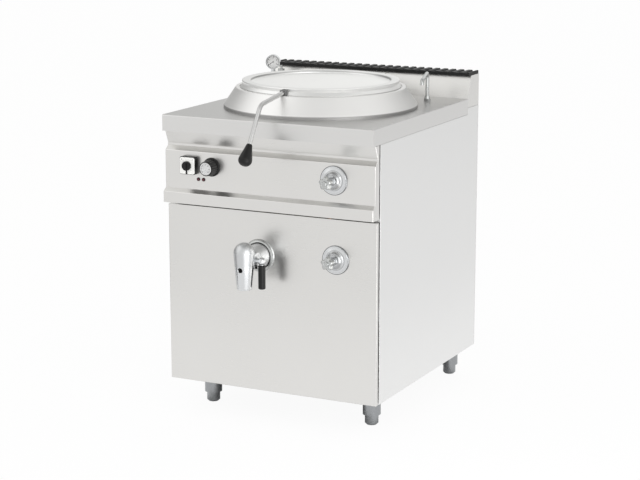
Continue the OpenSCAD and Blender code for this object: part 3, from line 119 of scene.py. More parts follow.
# %% Shader sums
class Wire:
    """A shader socket that can be added, multiplied and compared."""

    def __init__(self, tree, socket):
        self.tree, self.socket = tree, socket

    def node(self, kind, settings=None, inputs=None, out=0):
        """Adds a node, with its settings first and then its sockets' values or links."""
        made = self.tree.nodes.new(kind)
        for name, value in (settings or {}).items():
            setattr(made, name, value)
        for name, value in (inputs or {}).items():
            target = made.inputs[name]
            if isinstance(value, Wire):
                self.tree.links.new(value.socket, target)
            else:
                target.default_value = value
        return Wire(self.tree, made.outputs[out])

    def maths(self, operation, other=0.0, flip=False):
        """A sum with another wire or number, which comes first if flip."""
        first, second = (other, self) if flip else (self, other)
        return self.node("ShaderNodeMath", {"operation": operation}, {0: first, 1: second})

    def __add__(self, other):
        return self.maths("ADD", other)

    def __radd__(self, other):
        return self.maths("ADD", other, True)

    def __sub__(self, other):
        return self.maths("SUBTRACT", other)

    def __rsub__(self, other):
        return self.maths("SUBTRACT", other, True)

    def __mul__(self, other):
        return self.maths("MULTIPLY", other)

    def __rmul__(self, other):
        return self.maths("MULTIPLY", other, True)

    def power(self, exponent):
        """This value raised to an exponent."""
        return self.maths("POWER", exponent)

    def clamp(self):
        """This value kept between 0 and 1."""
        return self.node("ShaderNodeClamp", {}, {"Value": self})

    def ramp(self, start, stop):
        """0 below start and 1 above stop, with a smooth turn between them."""
        return self.node("ShaderNodeMapRange", {"interpolation_type": "SMOOTHSTEP"},
                         {"Value": self, "From Min": start, "From Max": stop})

    def mix(self, low, high):
        """The colour between low and high where this wire runs from 0 to 1."""
        return self.node("ShaderNodeMix", {"data_type": "RGBA"},
                         {"Factor": self, "A": low, "B": high}, out="Result")

    def noise(self, scale, detail=2.0, rough=0.5):
        """Noise from 0 to 1 where this wire is a place."""
        return self.node("ShaderNodeTexNoise", {},
                         {"Vector": self, "Scale": scale, "Detail": detail, "Roughness": rough})

    def stretched(self, factors):
        """This place with each axis multiplied by its factor."""
        return self.node("ShaderNodeVectorMath", {"operation": "MULTIPLY"}, {0: self, 1: factors})

    def moved(self, offset):
        """This place with an offset added."""
        return self.node("ShaderNodeVectorMath", {"operation": "ADD"}, {0: self, 1: offset})

    def axes(self):
        """The x, y and z of this place."""
        split = self.node("ShaderNodeSeparateXYZ", {}, {"Vector": self}).socket.node
        return tuple(Wire(self.tree, split.outputs[axis]) for axis in "XYZ")

    def along(self, axis):
        """How far this place lies along an axis."""
        return self.node("ShaderNodeVectorMath", {"operation": "DOT_PRODUCT"},
                         {0: self, 1: tuple(axis)}, out="Value")

    def scaled(self, share):
        """This colour with its brightness multiplied by a share."""
        return self.node("ShaderNodeVectorMath", {"operation": "SCALE"},
                         {0: self, "Scale": share}, out="Vector")


def distance(across, along):
    """How far two coordinates, both wires, lie from nought together."""
    return (across * across + along * along).power(0.5)


def tints(base, dark=0.955, light=1.03):
    """A darker and a lighter colour made from one."""
    return tuple(tuple(min(1.0, c * share) for c in base) + (1.0,) for share in (dark, light))


def finish_of(name, base, roughness, metallic=0.0, **fixed):
    """A new material: returns it, its shader node and the wire of Object places."""
    made = bpy.data.materials.new(name)
    made.use_nodes = True
    tree = made.node_tree
    shader = tree.nodes["Principled BSDF"]
    shader.inputs["Base Color"].default_value = (*base, 1.0)
    shader.inputs["Roughness"].default_value = roughness
    shader.inputs["Metallic"].default_value = metallic
    for socket, value in fixed.items():
        shader.inputs[socket.replace("_", " ")].default_value = value
    places = tree.nodes.new("ShaderNodeTexCoord").outputs["Object"]
    made.diffuse_color = (*base, 1.0)
    return made, shader, Wire(tree, places)


def feed(wire, shader, socket):
    """Leads a wire into one of the shader's sockets."""
    wire.tree.links.new(wire.socket, shader.inputs[socket])


def relief(wire, shader, depth):
    """Leads a height wire through a Bump node to the shader's normal; depth in metres."""
    feed(wire.node("ShaderNodeBump", {}, {"Height": wire, "Distance": depth, "Strength": 1.0}),
         shader, "Normal")


print("shader helpers ready")

# %% [markdown]
# ## Stainless steel
# The cabinet is satin sheet: the mill's grain is fine lines in one direction,
# with slow changes of gloss from handling. Noise squeezed hard along one axis
# gives the lines, and a second, wide noise gives the changes. The lid, the
# collar and the vessel are spun on a lathe, so their lines run round the pan's
# axis, which needs the distance from that axis instead of a flat axis.

# %% Sheet and spun steel
PAN_AXIS = middle("pan_collar")


def shaded_by_height(colour, place, level, below, above, soft=0.001):
    """Painted light and shade: a colour scaled by one share below a height and by another
    above it; soft is half the height over which the one runs into the other."""
    height = place.axes()[2]
    return colour.scaled(below + height.ramp(level - soft, level + soft) * (above - below))


def steel(name, base, roughness, lines, line_scale=900.0, spread=0.06, bump=2e-5, split=None):
    """Satin steel: lines is how much each axis stretches the grain, and split a height
    with the shares of its brightness below and above it, which paint light and shade."""
    made, shader, place = finish_of(name, base, roughness, metallic=1.0)
    grain = place.stretched(lines).noise(line_scale, detail=3.0, rough=0.6)
    cloud = place.noise(3.2, detail=3.0)
    feed(roughness + (grain - 0.5) * spread * 2.0 + (cloud - 0.5) * spread, shader, "Roughness")
    colour = (grain * 0.35 + cloud * 0.65).clamp().mix(*tints(base))
    feed(shaded_by_height(colour, place, *split) if split else colour, shader, "Base Color")
    relief(grain * 0.5 + cloud * 0.5, shader, bump)
    return made


def spun_steel(name, base, roughness, spread=0.06, split=None, rings=None):
    """Satin steel with its lines in rings round the pan's axis. Rings is a radius, the
    width of the wall there, which is painted darker as its shade, and the shares of
    brightness on it and outside it."""
    made, shader, place = finish_of(name, base, roughness, metallic=1.0)
    centred = place.moved((-PAN_AXIS[0], -PAN_AXIS[1], 0.0))
    flat = centred.stretched((1.0, 1.0, 0.0))
    radius = flat.node("ShaderNodeVectorMath", {"operation": "LENGTH"}, {0: flat}, out="Value")
    ring_place = radius.node("ShaderNodeCombineXYZ", {},
                             {"X": radius, "Y": centred.axes()[2], "Z": 0.0})
    grain = ring_place.noise(1400.0, detail=3.0, rough=0.6)
    cloud = place.noise(4.0, detail=2.0)
    feed(roughness + (grain - 0.5) * spread * 2.0 + (cloud - 0.5) * spread, shader, "Roughness")
    colour = (grain * 0.3 + cloud * 0.7).clamp().mix(*tints(base, 0.96))
    if rings:
        wall_r, width, wall_shade, outside = rings
        beyond = radius.ramp(wall_r, wall_r + width)
        wall = radius.ramp(wall_r - width, wall_r) * (1.0 - beyond)
        # The wall's darker share is painted shade.
        colour = colour.scaled((1.0 - beyond) + beyond * outside - wall * (1.0 - wall_shade))
    feed(shaded_by_height(colour, place, *split) if split else colour, shader, "Base Color")
    relief(grain, shader, 1e-5)
    return made


# Heights in metres. Above the first lies the worktop's top face, painted darker than its
# nosing as shade, and below the second the collar's foot, painted dark as the shadow where
# it meets the worktop. Round the last two the front and the sides are painted a little
# brighter downwards, as light.
WORKTOP_TOP, COLLAR_FOOT, LOW_FRONT, LOW_SIDE = 0.8488, 0.8585, 0.3, 0.25
RECESS_R, RECESS_WALL = 0.198, 0.0016
ALONG_X, ALONG_Y, ALONG_Z, PLAIN = ((0.02, 1.0, 1.0), (1.0, 0.02, 1.0), (1.0, 1.0, 0.05),
                                    (1.0, 1.0, 1.0))
# The front, side and top steels are one sheet steel: the side's brighter base colour and the top's
# darker one are painted light and shade.
front_steel = steel("front_steel", (0.71, 0.702, 0.685), 0.3, ALONG_X,
                    split=(LOW_FRONT, 1.06, 1.0, 0.2))
side_steel = steel("side_steel", (0.81, 0.81, 0.805), 0.36, ALONG_Y,
                   split=(LOW_SIDE, 1.07, 0.99, 0.2))
top_steel = steel("top_steel", (0.68, 0.675, 0.665), 0.32, ALONG_X,
                  split=(WORKTOP_TOP, 1.0, 0.8))
lathe_steel = spun_steel("lathe_steel", (0.83, 0.825, 0.815), 0.42,
                         split=(COLLAR_FOOT, 0.5, 1.0))
vessel_steel = spun_steel("vessel_steel", (0.8, 0.795, 0.785), 0.28)
# The lid's recess wall is painted dark as its shade, and the ring outside the recess is a little
# darker than the dish.
lid_steel = spun_steel("lid_steel", (0.95, 0.95, 0.94), 0.38,
                       rings=(RECESS_R, RECESS_WALL, 0.5, 0.89))
leg_steel = steel("leg_steel", (0.335, 0.345, 0.355), 0.2, ALONG_Z)
inner_steel = steel("inner_steel", (0.2, 0.2, 0.2), 0.5, PLAIN, 300.0)
print("steels:", [m.name for m in bpy.data.materials if "steel" in m.name])

# %% [markdown]
# ## Chrome, enamel and plastics
# Chrome is the smoothest finish here, with faint polishing marks. The flue grille
# is cast iron under black enamel, with the skin of the sand mould. The knobs and
# grips are moulded plastic with a fine grain.


# %% Chrome, enamel and plastics
def polished(name, base, roughness):
    """Plated metal with faint polishing marks and smears."""
    made, shader, place = finish_of(name, base, roughness, metallic=1.0)
    marks = place.noise(160.0, detail=4.0, rough=0.6)
    smear = place.noise(14.0, detail=2.0)
    feed((roughness + (marks - 0.5) * 0.05 + (smear - 0.5) * 0.08).clamp(), shader, "Roughness")
    feed(smear.mix(*tints(base, 0.95, 1.0)), shader, "Base Color")
    return made


def moulded(name, base, roughness, grain_scale, depth, variation=0.15, **fixed):
    """Plastic, enamel or rubber: grain in its relief, slow changes in its colour and gloss."""
    made, shader, place = finish_of(name, base, roughness, **fixed)
    grain = place.noise(grain_scale, detail=3.0, rough=0.55)
    cloud = place.noise(20.0, detail=3.0)
    light = tuple(min(1.0, c * (1 + variation) + 0.01 * variation) for c in base) + (1.0,)
    dark = tuple(c * (1 - variation) for c in base) + (1.0,)
    feed(cloud.mix(dark, light), shader, "Base Color")
    feed((roughness + (cloud - 0.5) * 0.15 + (grain - 0.5) * 0.1).clamp(), shader, "Roughness")
    relief(grain, shader, depth)
    return made


chrome = polished("chrome", (0.68, 0.69, 0.7), 0.12)
satin_chrome = polished("satin_chrome", (0.7, 0.71, 0.71), 0.24)
tube_chrome = polished("tube_chrome", (0.5, 0.51, 0.505), 0.27)
rod_steel = polished("rod_steel", (0.6, 0.6, 0.595), 0.38)


def valve_plate(name, x, heights, steps):
    """Pressed chrome covers on one vertical line: their brightness by the distance from
    the nearest cover's axis, as (radius, share) steps, which paint the covers' bright and
    dark rings of reflection and shade."""
    made, shader, place = finish_of(name, (0.66, 0.67, 0.68), 0.16, metallic=1.0)
    lower, upper = heights
    across, _, high = place.moved((-x, 0.0, -lower)).axes()
    high = high - high.ramp(0.1, 0.12) * (upper - lower)
    radius = distance(across, high)
    share = steps[0][1]
    for (_, before), (edge, after) in zip(steps[:-1], steps[1:]):
        share = share + radius.ramp(edge - 0.0006, edge + 0.0006) * (after - before)
    marks = place.noise(160.0, detail=4.0, rough=0.6)
    tint = marks.mix((0.62, 0.63, 0.64, 1), (0.7, 0.71, 0.72, 1))
    feed(tint.scaled(share), shader, "Base Color")
    feed((0.2 + (marks - 0.5) * 0.06).clamp(), shader, "Roughness")
    return made


VALVE_LINE, VALVE_HEIGHTS = 0.199, (0.486, 0.705)
# The rosettes' bright and dark rings are painted reflections and shade.
rosette_chrome = valve_plate("rosette_chrome", VALVE_LINE, VALVE_HEIGHTS,
                             [(0.0, 0.8), (0.0145, 0.62), (0.0215, 0.9), (0.0262, 0.6),
                              (0.028, 0.95), (0.0345, 0.85), (0.0362, 1.1), (0.0378, 0.3)])
grille_enamel = moulded("grille_enamel", (0.006, 0.006, 0.006), 0.5, 420.0, 1.2e-4,
                        Specular_IOR_Level=0.3)
bracket_paint = moulded("bracket_paint", (0.13, 0.13, 0.13), 0.45, 420.0, 4e-5)
black_plastic = moulded("black_plastic", (0.007, 0.007, 0.007), 0.36, 900.0, 2e-5,
                        Specular_IOR_Level=0.25)
white_plastic = moulded("white_plastic", (0.86, 0.86, 0.84), 0.35, 800.0, 1e-5, 0.03)
grey_plastic = moulded("grey_plastic", (0.3, 0.3, 0.3), 0.5, 700.0, 2e-5)
seal_rubber = moulded("seal_rubber", (0.02, 0.02, 0.02), 0.7, 600.0, 4e-5)
frame_paint = moulded("frame_paint", (0.2, 0.2, 0.21), 0.5, 500.0, 4e-5)
mineral_wool = moulded("mineral_wool", (0.45, 0.4, 0.26), 0.95, 260.0, 2e-3, 0.3)
copper_tube = polished("copper_tube", (0.72, 0.38, 0.24), 0.3)
lamp_red = moulded("lamp_red", (0.085, 0.012, 0.02), 0.25, 500.0, 1e-5, 0.2)
needle_black = moulded("needle_black", (0.01, 0.01, 0.01), 0.5, 600.0, 1e-5)
needle_grey = moulded("needle_grey", (0.4, 0.4, 0.4), 0.5, 600.0, 1e-5)


def clear_glass(name):
    """Flat gauge glass: clear, with faint wiping marks in its gloss."""
    made, shader, place = finish_of(name, (1.0, 1.0, 1.0), 0.03, Transmission_Weight=1.0, IOR=1.1)
    feed((place.noise(60.0) * 0.06).clamp(), shader, "Roughness")
    return made


gauge_clear = clear_glass("gauge_clear")
print("finishes:", len(bpy.data.materials))

# %% [markdown]
# ## Dressing the frame
# Every piece of the frame gets one finish, the one it has on the real object. What is
# hidden in the cabinet is dressed too, because it shows when the lid is open and in
# views from behind and below.

# %% Dress the frame
DRESS = {
    front_steel: ["control_panel", "front_panel", "upstand"],
    side_steel: ["side_panel_left", "side_panel_right", "back_panel"],
    top_steel: ["worktop"],
    lathe_steel: ["pan_collar"],
    vessel_steel: ["pan_vessel"],
    lid_steel: ["lid_shell", "lid_liner"],
    leg_steel: ["legs", "foot_front_left", "foot_front_right", "foot_back_left",
                "foot_back_right"],
    inner_steel: ["base_tray", "jacket", "drain_pipe"],
    rosette_chrome: ["valve_rosettes"],
    tube_chrome: ["filler_base", "filler_spout", "tap_flange", "gauge_pipe", "safety_valve"],
    chrome: ["tap_body", "tap_lever", "valve_bodies",
             "upper_valve_knob", "lower_valve_knob", "gauge_case"],
    rod_steel: ["lid_handle"],
    satin_chrome: ["tap_plug", "drain_strainer", "lid_hinge", "hinge_pin", "hinge_brackets",
                   "regulator_disc"],
    grille_enamel: ["flue_grille"],
    bracket_paint: ["lid_bracket"],
    black_plastic: ["tap_grip", "switch_box", "switch_knob", "regulator_knob", "lid_grip",
                    "cable_gland"],
    white_plastic: ["switch_plate", "terminal_block", "gauge_dial"],
    grey_plastic: ["switch_block", "regulator_block"],
    needle_grey: ["gauge_pointer"],
    lamp_red: ["pilot_lamps"],
    copper_tube: ["water_pipes", "heating_elements"],
    gauge_clear: ["gauge_glass"],
    seal_rubber: ["lid_gasket"],
    mineral_wool: ["insulation"],
    frame_paint: ["frame"],
}
for material, names in DRESS.items():
    for name in names:
        for holder in nodes[name].material_slots:
            holder.material = material
dressed = sum(len(names) for names in DRESS.values())
print("dressed", dressed, "of", len(nodes))

# %% [markdown]
# ## Surfaces from numbers
# New pieces are grids of points. A turned piece carries a profile round an axis,
# and a moulded one changes the profile's radius with the angle. Points that fall
# together, such as the pole of a dome and the seam of a turn, are merged, so the
# skin is closed, and then its faces are turned outwards.


# %% Placing and closing a skin
def drawn(x, y, z):
    """A place given in millimetres from the worktop's front edge, in the part's frame."""
    return np.array([x, y, z], float) * MM + np.array([0.0, WORKTOP_FRONT, 0.0])


def frame_at(place, out, up=(0.0, 0.0, 1.0)):
    """A function that takes local points (right, up, out) in millimetres to the part's frame."""
    out = np.array(out, float) / np.linalg.norm(out)
    right = np.cross(up, out)
    right /= np.linalg.norm(right)
    over = np.cross(out, right)
    axes = np.array([right, over, out])

    def to_part(points):
        return np.asarray(points, float) * MM @ axes + np.array(place, float)

    return to_part


def grid_faces(rows, columns, wrap, start=0):
    """Quads of a grid of points: rows by columns, joined round along the columns if wrap."""
    row, column = np.meshgrid(np.arange(rows - 1), np.arange(columns if wrap else columns - 1),
                              indexing="ij")
    after = (column + 1) % columns
    quads = np.stack([row * columns + column, row * columns + after,
                      (row + 1) * columns + after, (row + 1) * columns + column], axis=-1)
    return quads.reshape(-1, 4) + start


def close_up(mesh, merge=2e-6):
    """Merges points that fall together and turns the faces outwards."""
    work = bmesh.new()
    work.from_mesh(mesh)
    bmesh.ops.remove_doubles(work, verts=work.verts, dist=merge)
    bmesh.ops.dissolve_degenerate(work, edges=work.edges, dist=merge)
    bmesh.ops.recalc_face_normals(work, faces=work.faces)
    work.to_mesh(mesh)
    work.free()


def mesh_of(name, skins):
    """One mesh from closed (rows, columns, 3) skins that wrap round."""
    points, faces, start = [], [], 0
    for skin in skins:
        rows, columns = skin.shape[:2]
        points.append(skin.reshape(-1, 3))
        faces.append(grid_faces(rows, columns, True, start))
        start += rows * columns
    mesh = bpy.data.meshes.new(name)
    mesh.from_pydata(np.concatenate(points).tolist(), [], np.concatenate(faces).tolist())
    close_up(mesh)
    return mesh


def piece_from(name, skins, material, body, stands_for=(), crisp=None):
    """A piece made of skins. It rides on a body, takes its finish from a slot and stands
    for pieces of the frame. Edges sharper than crisp degrees stay crisp."""
    return finished(name, mesh_of(name, skins), material, body, stands_for, crisp)


def finished(name, mesh, material, body, stands_for=(), crisp=None):
    """Gives a mesh its shading and material and puts it into the scene."""
    mesh.materials.clear()
    mesh.materials.append(material)
    mesh.polygons.foreach_set("use_smooth", np.ones(len(mesh.polygons), bool))
    if crisp:
        mesh.set_sharp_from_angle(angle=math.radians(crisp))
    piece = bpy.data.objects.new(name, mesh)
    bpy.context.collection.objects.link(piece)
    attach(piece, body)
    if stands_for:
        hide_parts(*stands_for)
    print(name, len(mesh.polygons), "faces")
    return piece


def smooth_line(points, steps=6):
    """A curve through points: Catmull-Rom, whose slope at a point is half the way
    between its two neighbours."""
    knots = np.array(points, float)
    around = np.vstack([2 * knots[0] - knots[1], knots, 2 * knots[-1] - knots[-2]])
    before, start, end, after = around[:-3], around[1:-2], around[2:-1], around[3:]
    t = np.linspace(0, 1, steps, endpoint=False)[None, :, None]
    line = 0.5 * (2 * start[:, None] + (end - before)[:, None] * t
                  + (2 * before - 5 * start + 4 * end - after)[:, None] * t ** 2
                  + (3 * start - before - 3 * end + after)[:, None] * t ** 3)
    return np.vstack([line.reshape(-1, knots.shape[1]), knots[-1:]])


def turned(profile, place, steps=72, lobes=0, lobing=0.0, start=0.0):
    """Carries a profile of (radius, out) points round: x = r cos a, y = r sin a. With
    lobes, r grows by lobing x (r / its largest value) squared x cos(lobes x (a - start))."""
    radius, out = np.array(profile, float).T
    angle = np.linspace(0, 2 * math.pi, steps, endpoint=False)
    swell = lobing * (radius / radius.max())[:, None] ** 2 * np.cos(lobes * (angle - start))
    reach = radius[:, None] + swell
    local = np.stack([reach * np.cos(angle), reach * np.sin(angle),
                      np.repeat(out[:, None], steps, 1)], axis=-1)
    return place(local)


def slab(width, height, corner, layers, place, steps=10):
    """A rounded rectangle whose outline is drawn in and raised layer by layer: each
    layer is (how far the outline is drawn in, out). The last layer closes to a point."""
    quarter = np.linspace(0, math.pi / 2, steps)
    outline = []
    for turn, (side, top) in enumerate([(1, 1), (-1, 1), (-1, -1), (1, -1)]):
        angle = quarter + turn * math.pi / 2
        outline.append(np.stack([side * (width / 2 - corner) + corner * np.cos(angle),
                                 top * (height / 2 - corner) + corner * np.sin(angle)], -1))
    outline = np.concatenate(outline)
    inward = outline / np.array([width / 2, height / 2])
    rows = []
    for drawn_in, out in layers:
        flat = outline - inward * drawn_in if drawn_in is not None else outline * 0.0
        rows.append(np.concatenate([flat, np.full((len(flat), 1), out)], axis=1))
    return place(np.array(rows))


print("surface helpers ready")

# %% [markdown]
# ## The lid's grip
# The grip at the end of the long handle is turned plastic: slim where the rod goes
# in, swelling like a drop to its widest place near the end, and rounded off. One
# curve through eight radii gives that, carried round the rod's line. The end is
# closed at a pole, and the other end runs a little into the rod.

# %% Lid grip
ROD_SLOPE, ROD_DROP = math.radians(7.3), math.radians(57.0)
ROD_Z, CORNER_OUT, ROD_FALL = 916.2, 23.4, 116.0
ROD_ROOT_Y = 109.5
corner_z = ROD_Z - (ROD_ROOT_Y + CORNER_OUT) * math.tan(ROD_SLOPE)
grip_start = drawn(0, -CORNER_OUT - ROD_FALL * math.cos(ROD_DROP),
                   corner_z - ROD_FALL * math.sin(ROD_DROP))
grip_out = (0.0, -math.cos(ROD_DROP), -math.sin(ROD_DROP))
at_grip = frame_at(grip_start, grip_out)
grip_body = smooth_line([(6.6, 0.2), (7.4, 0.8), (8.6, 4), (11.4, 16), (15.2, 30), (18.0, 41),
                         (18.6, 45.2), (18.0, 50.2), (15.4, 55.2), (11.2, 59.2), (6, 61.2),
                         (0.0, 61.6)])
grip_mouth = [(0.0, 6.0), (6.1, 6.0), (6.1, 0.6), (6.3, 0.2)]
piece_from("grip_on_handle", [turned(np.vstack([grip_mouth, grip_body]), at_grip)],
           black_plastic, "lid", ["lid_grip"])

# %% [markdown]
# ## Water valve knobs
# The two knobs are cast with five lobes for wet hands. Their radius swells and
# shrinks with the cosine of five times the angle. The swell fades towards the
# middle, so the face ends in a round boss that holds a cap.

# %% Valve knobs
LOBES, LOBE_H, KNOB_START = 5, 2.5, 38.3
VALVE_X, UPPER_Z, LOWER_Z = 199.0, 705.0, 486.0
PANEL_SET, DOOR_SET = 14.0, 26.0
lobe_side = smooth_line([(0.0, 0.0), (7.0, 0.0), (13.0, 0.4), (15.6, 2.2), (16.4, 6), (16.4, 13),
                         (15.6, 18), (13.2, 20.6), (9.6, 21.3), (7.2, 20.6), (6.4, 20.4)], 5)
cap_profile = smooth_line([(6.4, 20.4), (6.2, 21.8), (4.8, 22.8), (2.4, 23.1), (0.0, 23.15)], 4)
stem_profile = [(0.0, -14.0), (3.9, -14.0), (3.9, 1.0), (0.0, 1.0)]
for name, face_y, z in (("upper_valve", PANEL_SET, UPPER_Z), ("lower_valve", DOOR_SET, LOWER_Z)):
    at_knob = frame_at(drawn(VALVE_X, face_y - KNOB_START, z), (0, -1, 0))
    knob_skin = turned(np.vstack([lobe_side, cap_profile[1:]]), at_knob, 120, LOBES, LOBE_H,
                       math.pi / 2)
    piece_from(name + "_handle", [knob_skin, turned(stem_profile, at_knob, 32)], tube_chrome, name,
               [name + "_knob"])

# %% [markdown]
# ## The switch
# A square box stands out of the panel with a white plate on it. Plate and box have
# rounded corners, which a slab gives: one outline, drawn in layer by layer over
# the front edge. The knob is a disc with a raised bar, and a black mark on the plate
# shows its place. A 0 and a 1 are printed beside it.

# %% Switch box and plate
SWITCH_X, CONTROL_Z = -241.5, 713.0
BOX_OUT, PLATE_T, BOX_W, PLATE_W = 15.0, 2.0, 49.4, 46.2
at_switch = frame_at(drawn(SWITCH_X, PANEL_SET, CONTROL_Z), (0, -1, 0))
box_layers = [(None, 0.05), (0, 0.05), (0, BOX_OUT - 0.8), (0.25, BOX_OUT - 0.25),
              (0.8, BOX_OUT), (None, BOX_OUT)]
piece_from("switch_case", [slab(BOX_W, BOX_W, 6.0, box_layers, at_switch)], black_plastic,
           "cabinet", ["switch_box"], 50)
plate_front = BOX_OUT + PLATE_T
plate_layers = [(None, BOX_OUT), (0, BOX_OUT), (0, plate_front - 0.7), (0.2, plate_front - 0.2),
                (0.7, plate_front), (None, plate_front)]
piece_from("switch_face", [slab(PLATE_W, PLATE_W, 5.0, plate_layers, at_switch)], white_plastic,
           "cabinet", ["switch_plate"], 50)

# %% Switch knob and marks
KNOB_BASE = plate_front + 0.3
disc = [(0.0, KNOB_BASE), (13.0, KNOB_BASE), (13.0, KNOB_BASE + 6.2), (12.6, KNOB_BASE + 7.4),
        (11.6, KNOB_BASE + 8.0), (0.0, KNOB_BASE + 8.0)]
bar_layers = [(None, KNOB_BASE + 4), (0, KNOB_BASE + 4), (0, KNOB_BASE + 11.2),
              (0.35, KNOB_BASE + 11.8), (0.9, KNOB_BASE + 12.0), (None, KNOB_BASE + 12.0)]
piece_from("switch_handle", [turned(disc, at_switch), slab(5.0, 21.5, 1.6, bar_layers, at_switch)],
           black_plastic, "switch", ["switch_knob"], 40)


def printed(name, words, height, place, right, up, material, body):
    """Flat lettering of generic marks: the font's outlines as a mesh, middle on a place."""
    data = bpy.data.curves.new(name, "FONT")
    data.body, data.size = words, height
    data.align_x, data.align_y = "CENTER", "CENTER"
    data.extrude, data.resolution_u = 0.00006, 3
    word = bpy.data.objects.new(name, data)
    bpy.context.collection.objects.link(word)
    right, up = Vector(right).normalized(), Vector(up).normalized()
    turn = Matrix((right, up, right.cross(up))).transposed().to_4x4()
    bpy.context.view_layer.update()
    mesh = bpy.data.meshes.new_from_object(word)
    mesh.transform(Matrix.Translation(Vector(place)) @ turn)
    bpy.data.objects.remove(word)
    mesh.name = name
    return finished(name, mesh, material, body)


for words, side in (("0", -1), ("1", 1)):
    place = at_switch([[side * 17.0, 17.0, plate_front + 0.03]])[0]
    printed("switch_mark_" + words, words, 0.0065, place, (1, 0, 0), (0, 0, 1), needle_black,
            "cabinet")
at_mark = frame_at(at_switch([[-1.8, -18.0, plate_front - 0.05]])[0], (0, -1, 0))
MARK_LAYERS = [(None, 0), (0, 0), (0, 0.12), (None, 0.12)]
piece_from("switch_pointer_mark", [slab(5.6, 10.4, 0.6, MARK_LAYERS, at_mark)], needle_black,
           "cabinet")

# %% [markdown]
# ## The regulator
# The regulator's knob has a round skirt, a fluted side that tapers to the front and
# a bright dial set into a thin rim. The flutes are the same cosine as the valve
# knobs' lobes, with twenty of them. The dial gets its ticks from the angle and the
# distance from its centre.

# %% Regulator knob
REGULATOR_X, REGULATOR_Z, REGULATOR_L = -173.0, 712.0, 35.0
at_regulator = frame_at(drawn(REGULATOR_X, PANEL_SET, REGULATOR_Z), (0, -1, 0))
skirt = [(0.0, 0.3), (25.6, 0.3), (26.0, 0.8), (26.0, 3.6), (25.2, 5.0), (23.6, 5.6), (20.4, 6.0),
         (0.0, 6.0)]
front = 0.3 + REGULATOR_L
flutes = [(0.0, 5.0), (22.6, 5.0), (22.4, 8.0), (21.4, 18.0), (20.4, 28.5), (20.0, 32.4),
          (19.4, front - 0.5), (18.6, front), (17.6, front), (17.3, front - 0.9),
          (0.0, front - 0.9)]
fluted = turned(flutes, at_regulator, 200, 20, 0.7)
piece_from("regulator_handle", [turned(skirt, at_regulator), fluted], black_plastic, "regulator",
           ["regulator_knob"], 40)


def dial_lines(place, centre, right, up):
    """Wires for a dial: the distance from its centre and the angle from straight up, in
    turns from -0.5 to 0.5, clockwise."""
    from_centre = place.moved(tuple(-np.array(centre)))
    across, along = from_centre.along(right), from_centre.along(up)
    return distance(across, along), across.maths("ARCTAN2", along) * (0.5 / math.pi)


def band(wire, low, high, soft):
    """1 where a wire is between low and high, with soft edges."""
    return wire.ramp(low - soft, low + soft) * (1.0 - wire.ramp(high - soft, high + soft))


def ticks(radius, turns, every, wide, inner, outer, reach):
    """1 on radial ticks: every is the step in turns, wide a tick's width in metres."""
    saw = (turns * (1.0 / every) + 100.5).maths("FRACT") - 0.5
    off = saw.maths("ABSOLUTE") * radius * (2 * math.pi * every)
    on_tick = 1.0 - off.ramp(wide * 0.35, wide * 0.65)
    kept = 1.0 - turns.maths("ABSOLUTE").ramp(reach, reach + 0.002)
    return on_tick * band(radius, inner, outer, 0.0001) * kept


dial_metal, dial_shader, dial_place = finish_of("dial_metal", (0.74, 0.74, 0.74), 0.34, 1.0)
radius, turns = dial_lines(dial_place, at_regulator([[0, 0, 0]])[0], (1, 0, 0), (0, 0, 1))
speckle = dial_place.noise(900.0, detail=2.0)
marks = ticks(radius, turns, 1 / 24, 0.0007, 0.0118, 0.0148, 0.4)
marks = (marks + ticks(radius, turns, 1 / 8, 0.0011, 0.0095, 0.0148, 0.4)).clamp()
metal = speckle.ramp(0.25, 0.75).mix((0.5, 0.5, 0.5, 1), (0.9, 0.9, 0.9, 1))
# Black for printed marks, which is also painted into the tap's hole as its shade.
INK_AND_SHADE = (0.03, 0.03, 0.03, 1)
feed(marks.mix(metal, INK_AND_SHADE), dial_shader, "Base Color")
feed(1.0 - marks, dial_shader, "Metallic")
feed(0.28 + speckle * 0.2, dial_shader, "Roughness")
dial_disc = [(0.0, front - 0.7), (17.2, front - 0.7), (17.2, front + 0.2), (16.9, front + 0.45),
             (1.6, front + 0.5), (1.3, front + 0.9), (0.0, front + 0.95)]
piece_from("regulator_dial", [turned(dial_disc, at_regulator)], dial_metal, "regulator",
           ["regulator_disc"], 35)

# %% [markdown]
# ## Pilot lamps
# Each lamp is a low ring with a domed lens in it. The lens is unlit, deep red
# plastic, nearly black at the rim where it curves away.

# %% Pilot lamps
LAMP_X, LAMP_Z, LAMP_PITCH = (SWITCH_X + REGULATOR_X) / 2, 675.0, 16.0
lamp_skins, ring_skins = [], []
for side in (-0.5, 0.5):
    at_lamp = frame_at(drawn(LAMP_X + side * LAMP_PITCH, PANEL_SET, LAMP_Z), (0, -1, 0))
    lamp_skins.append(turned(smooth_line([(0.0, -1.0), (3.9, -1.0), (3.9, 1.6), (3.5, 2.7),
                                          (2.2, 3.7), (0.0, 4.0)], 5), at_lamp, 40))
    ring_skins.append(turned([(3.7, 0.02), (5.0, 0.02), (5.0, 1.6), (4.7, 2.2), (4.2, 2.3),
                              (3.8, 1.9), (3.7, 0.02)], at_lamp, 40))
piece_from("lamp_lenses", lamp_skins, lamp_red, "cabinet", ["pilot_lamps"])
piece_from("lamp_rings", ring_skins, black_plastic, "cabinet", (), 40)

# %% [markdown]
# ## The pressure gauge
# The dial is a white card behind glass, with fine ticks and five numbers. The numbers
# are flat letters, because at this size a crisp outline reads better than a painted
# pattern.

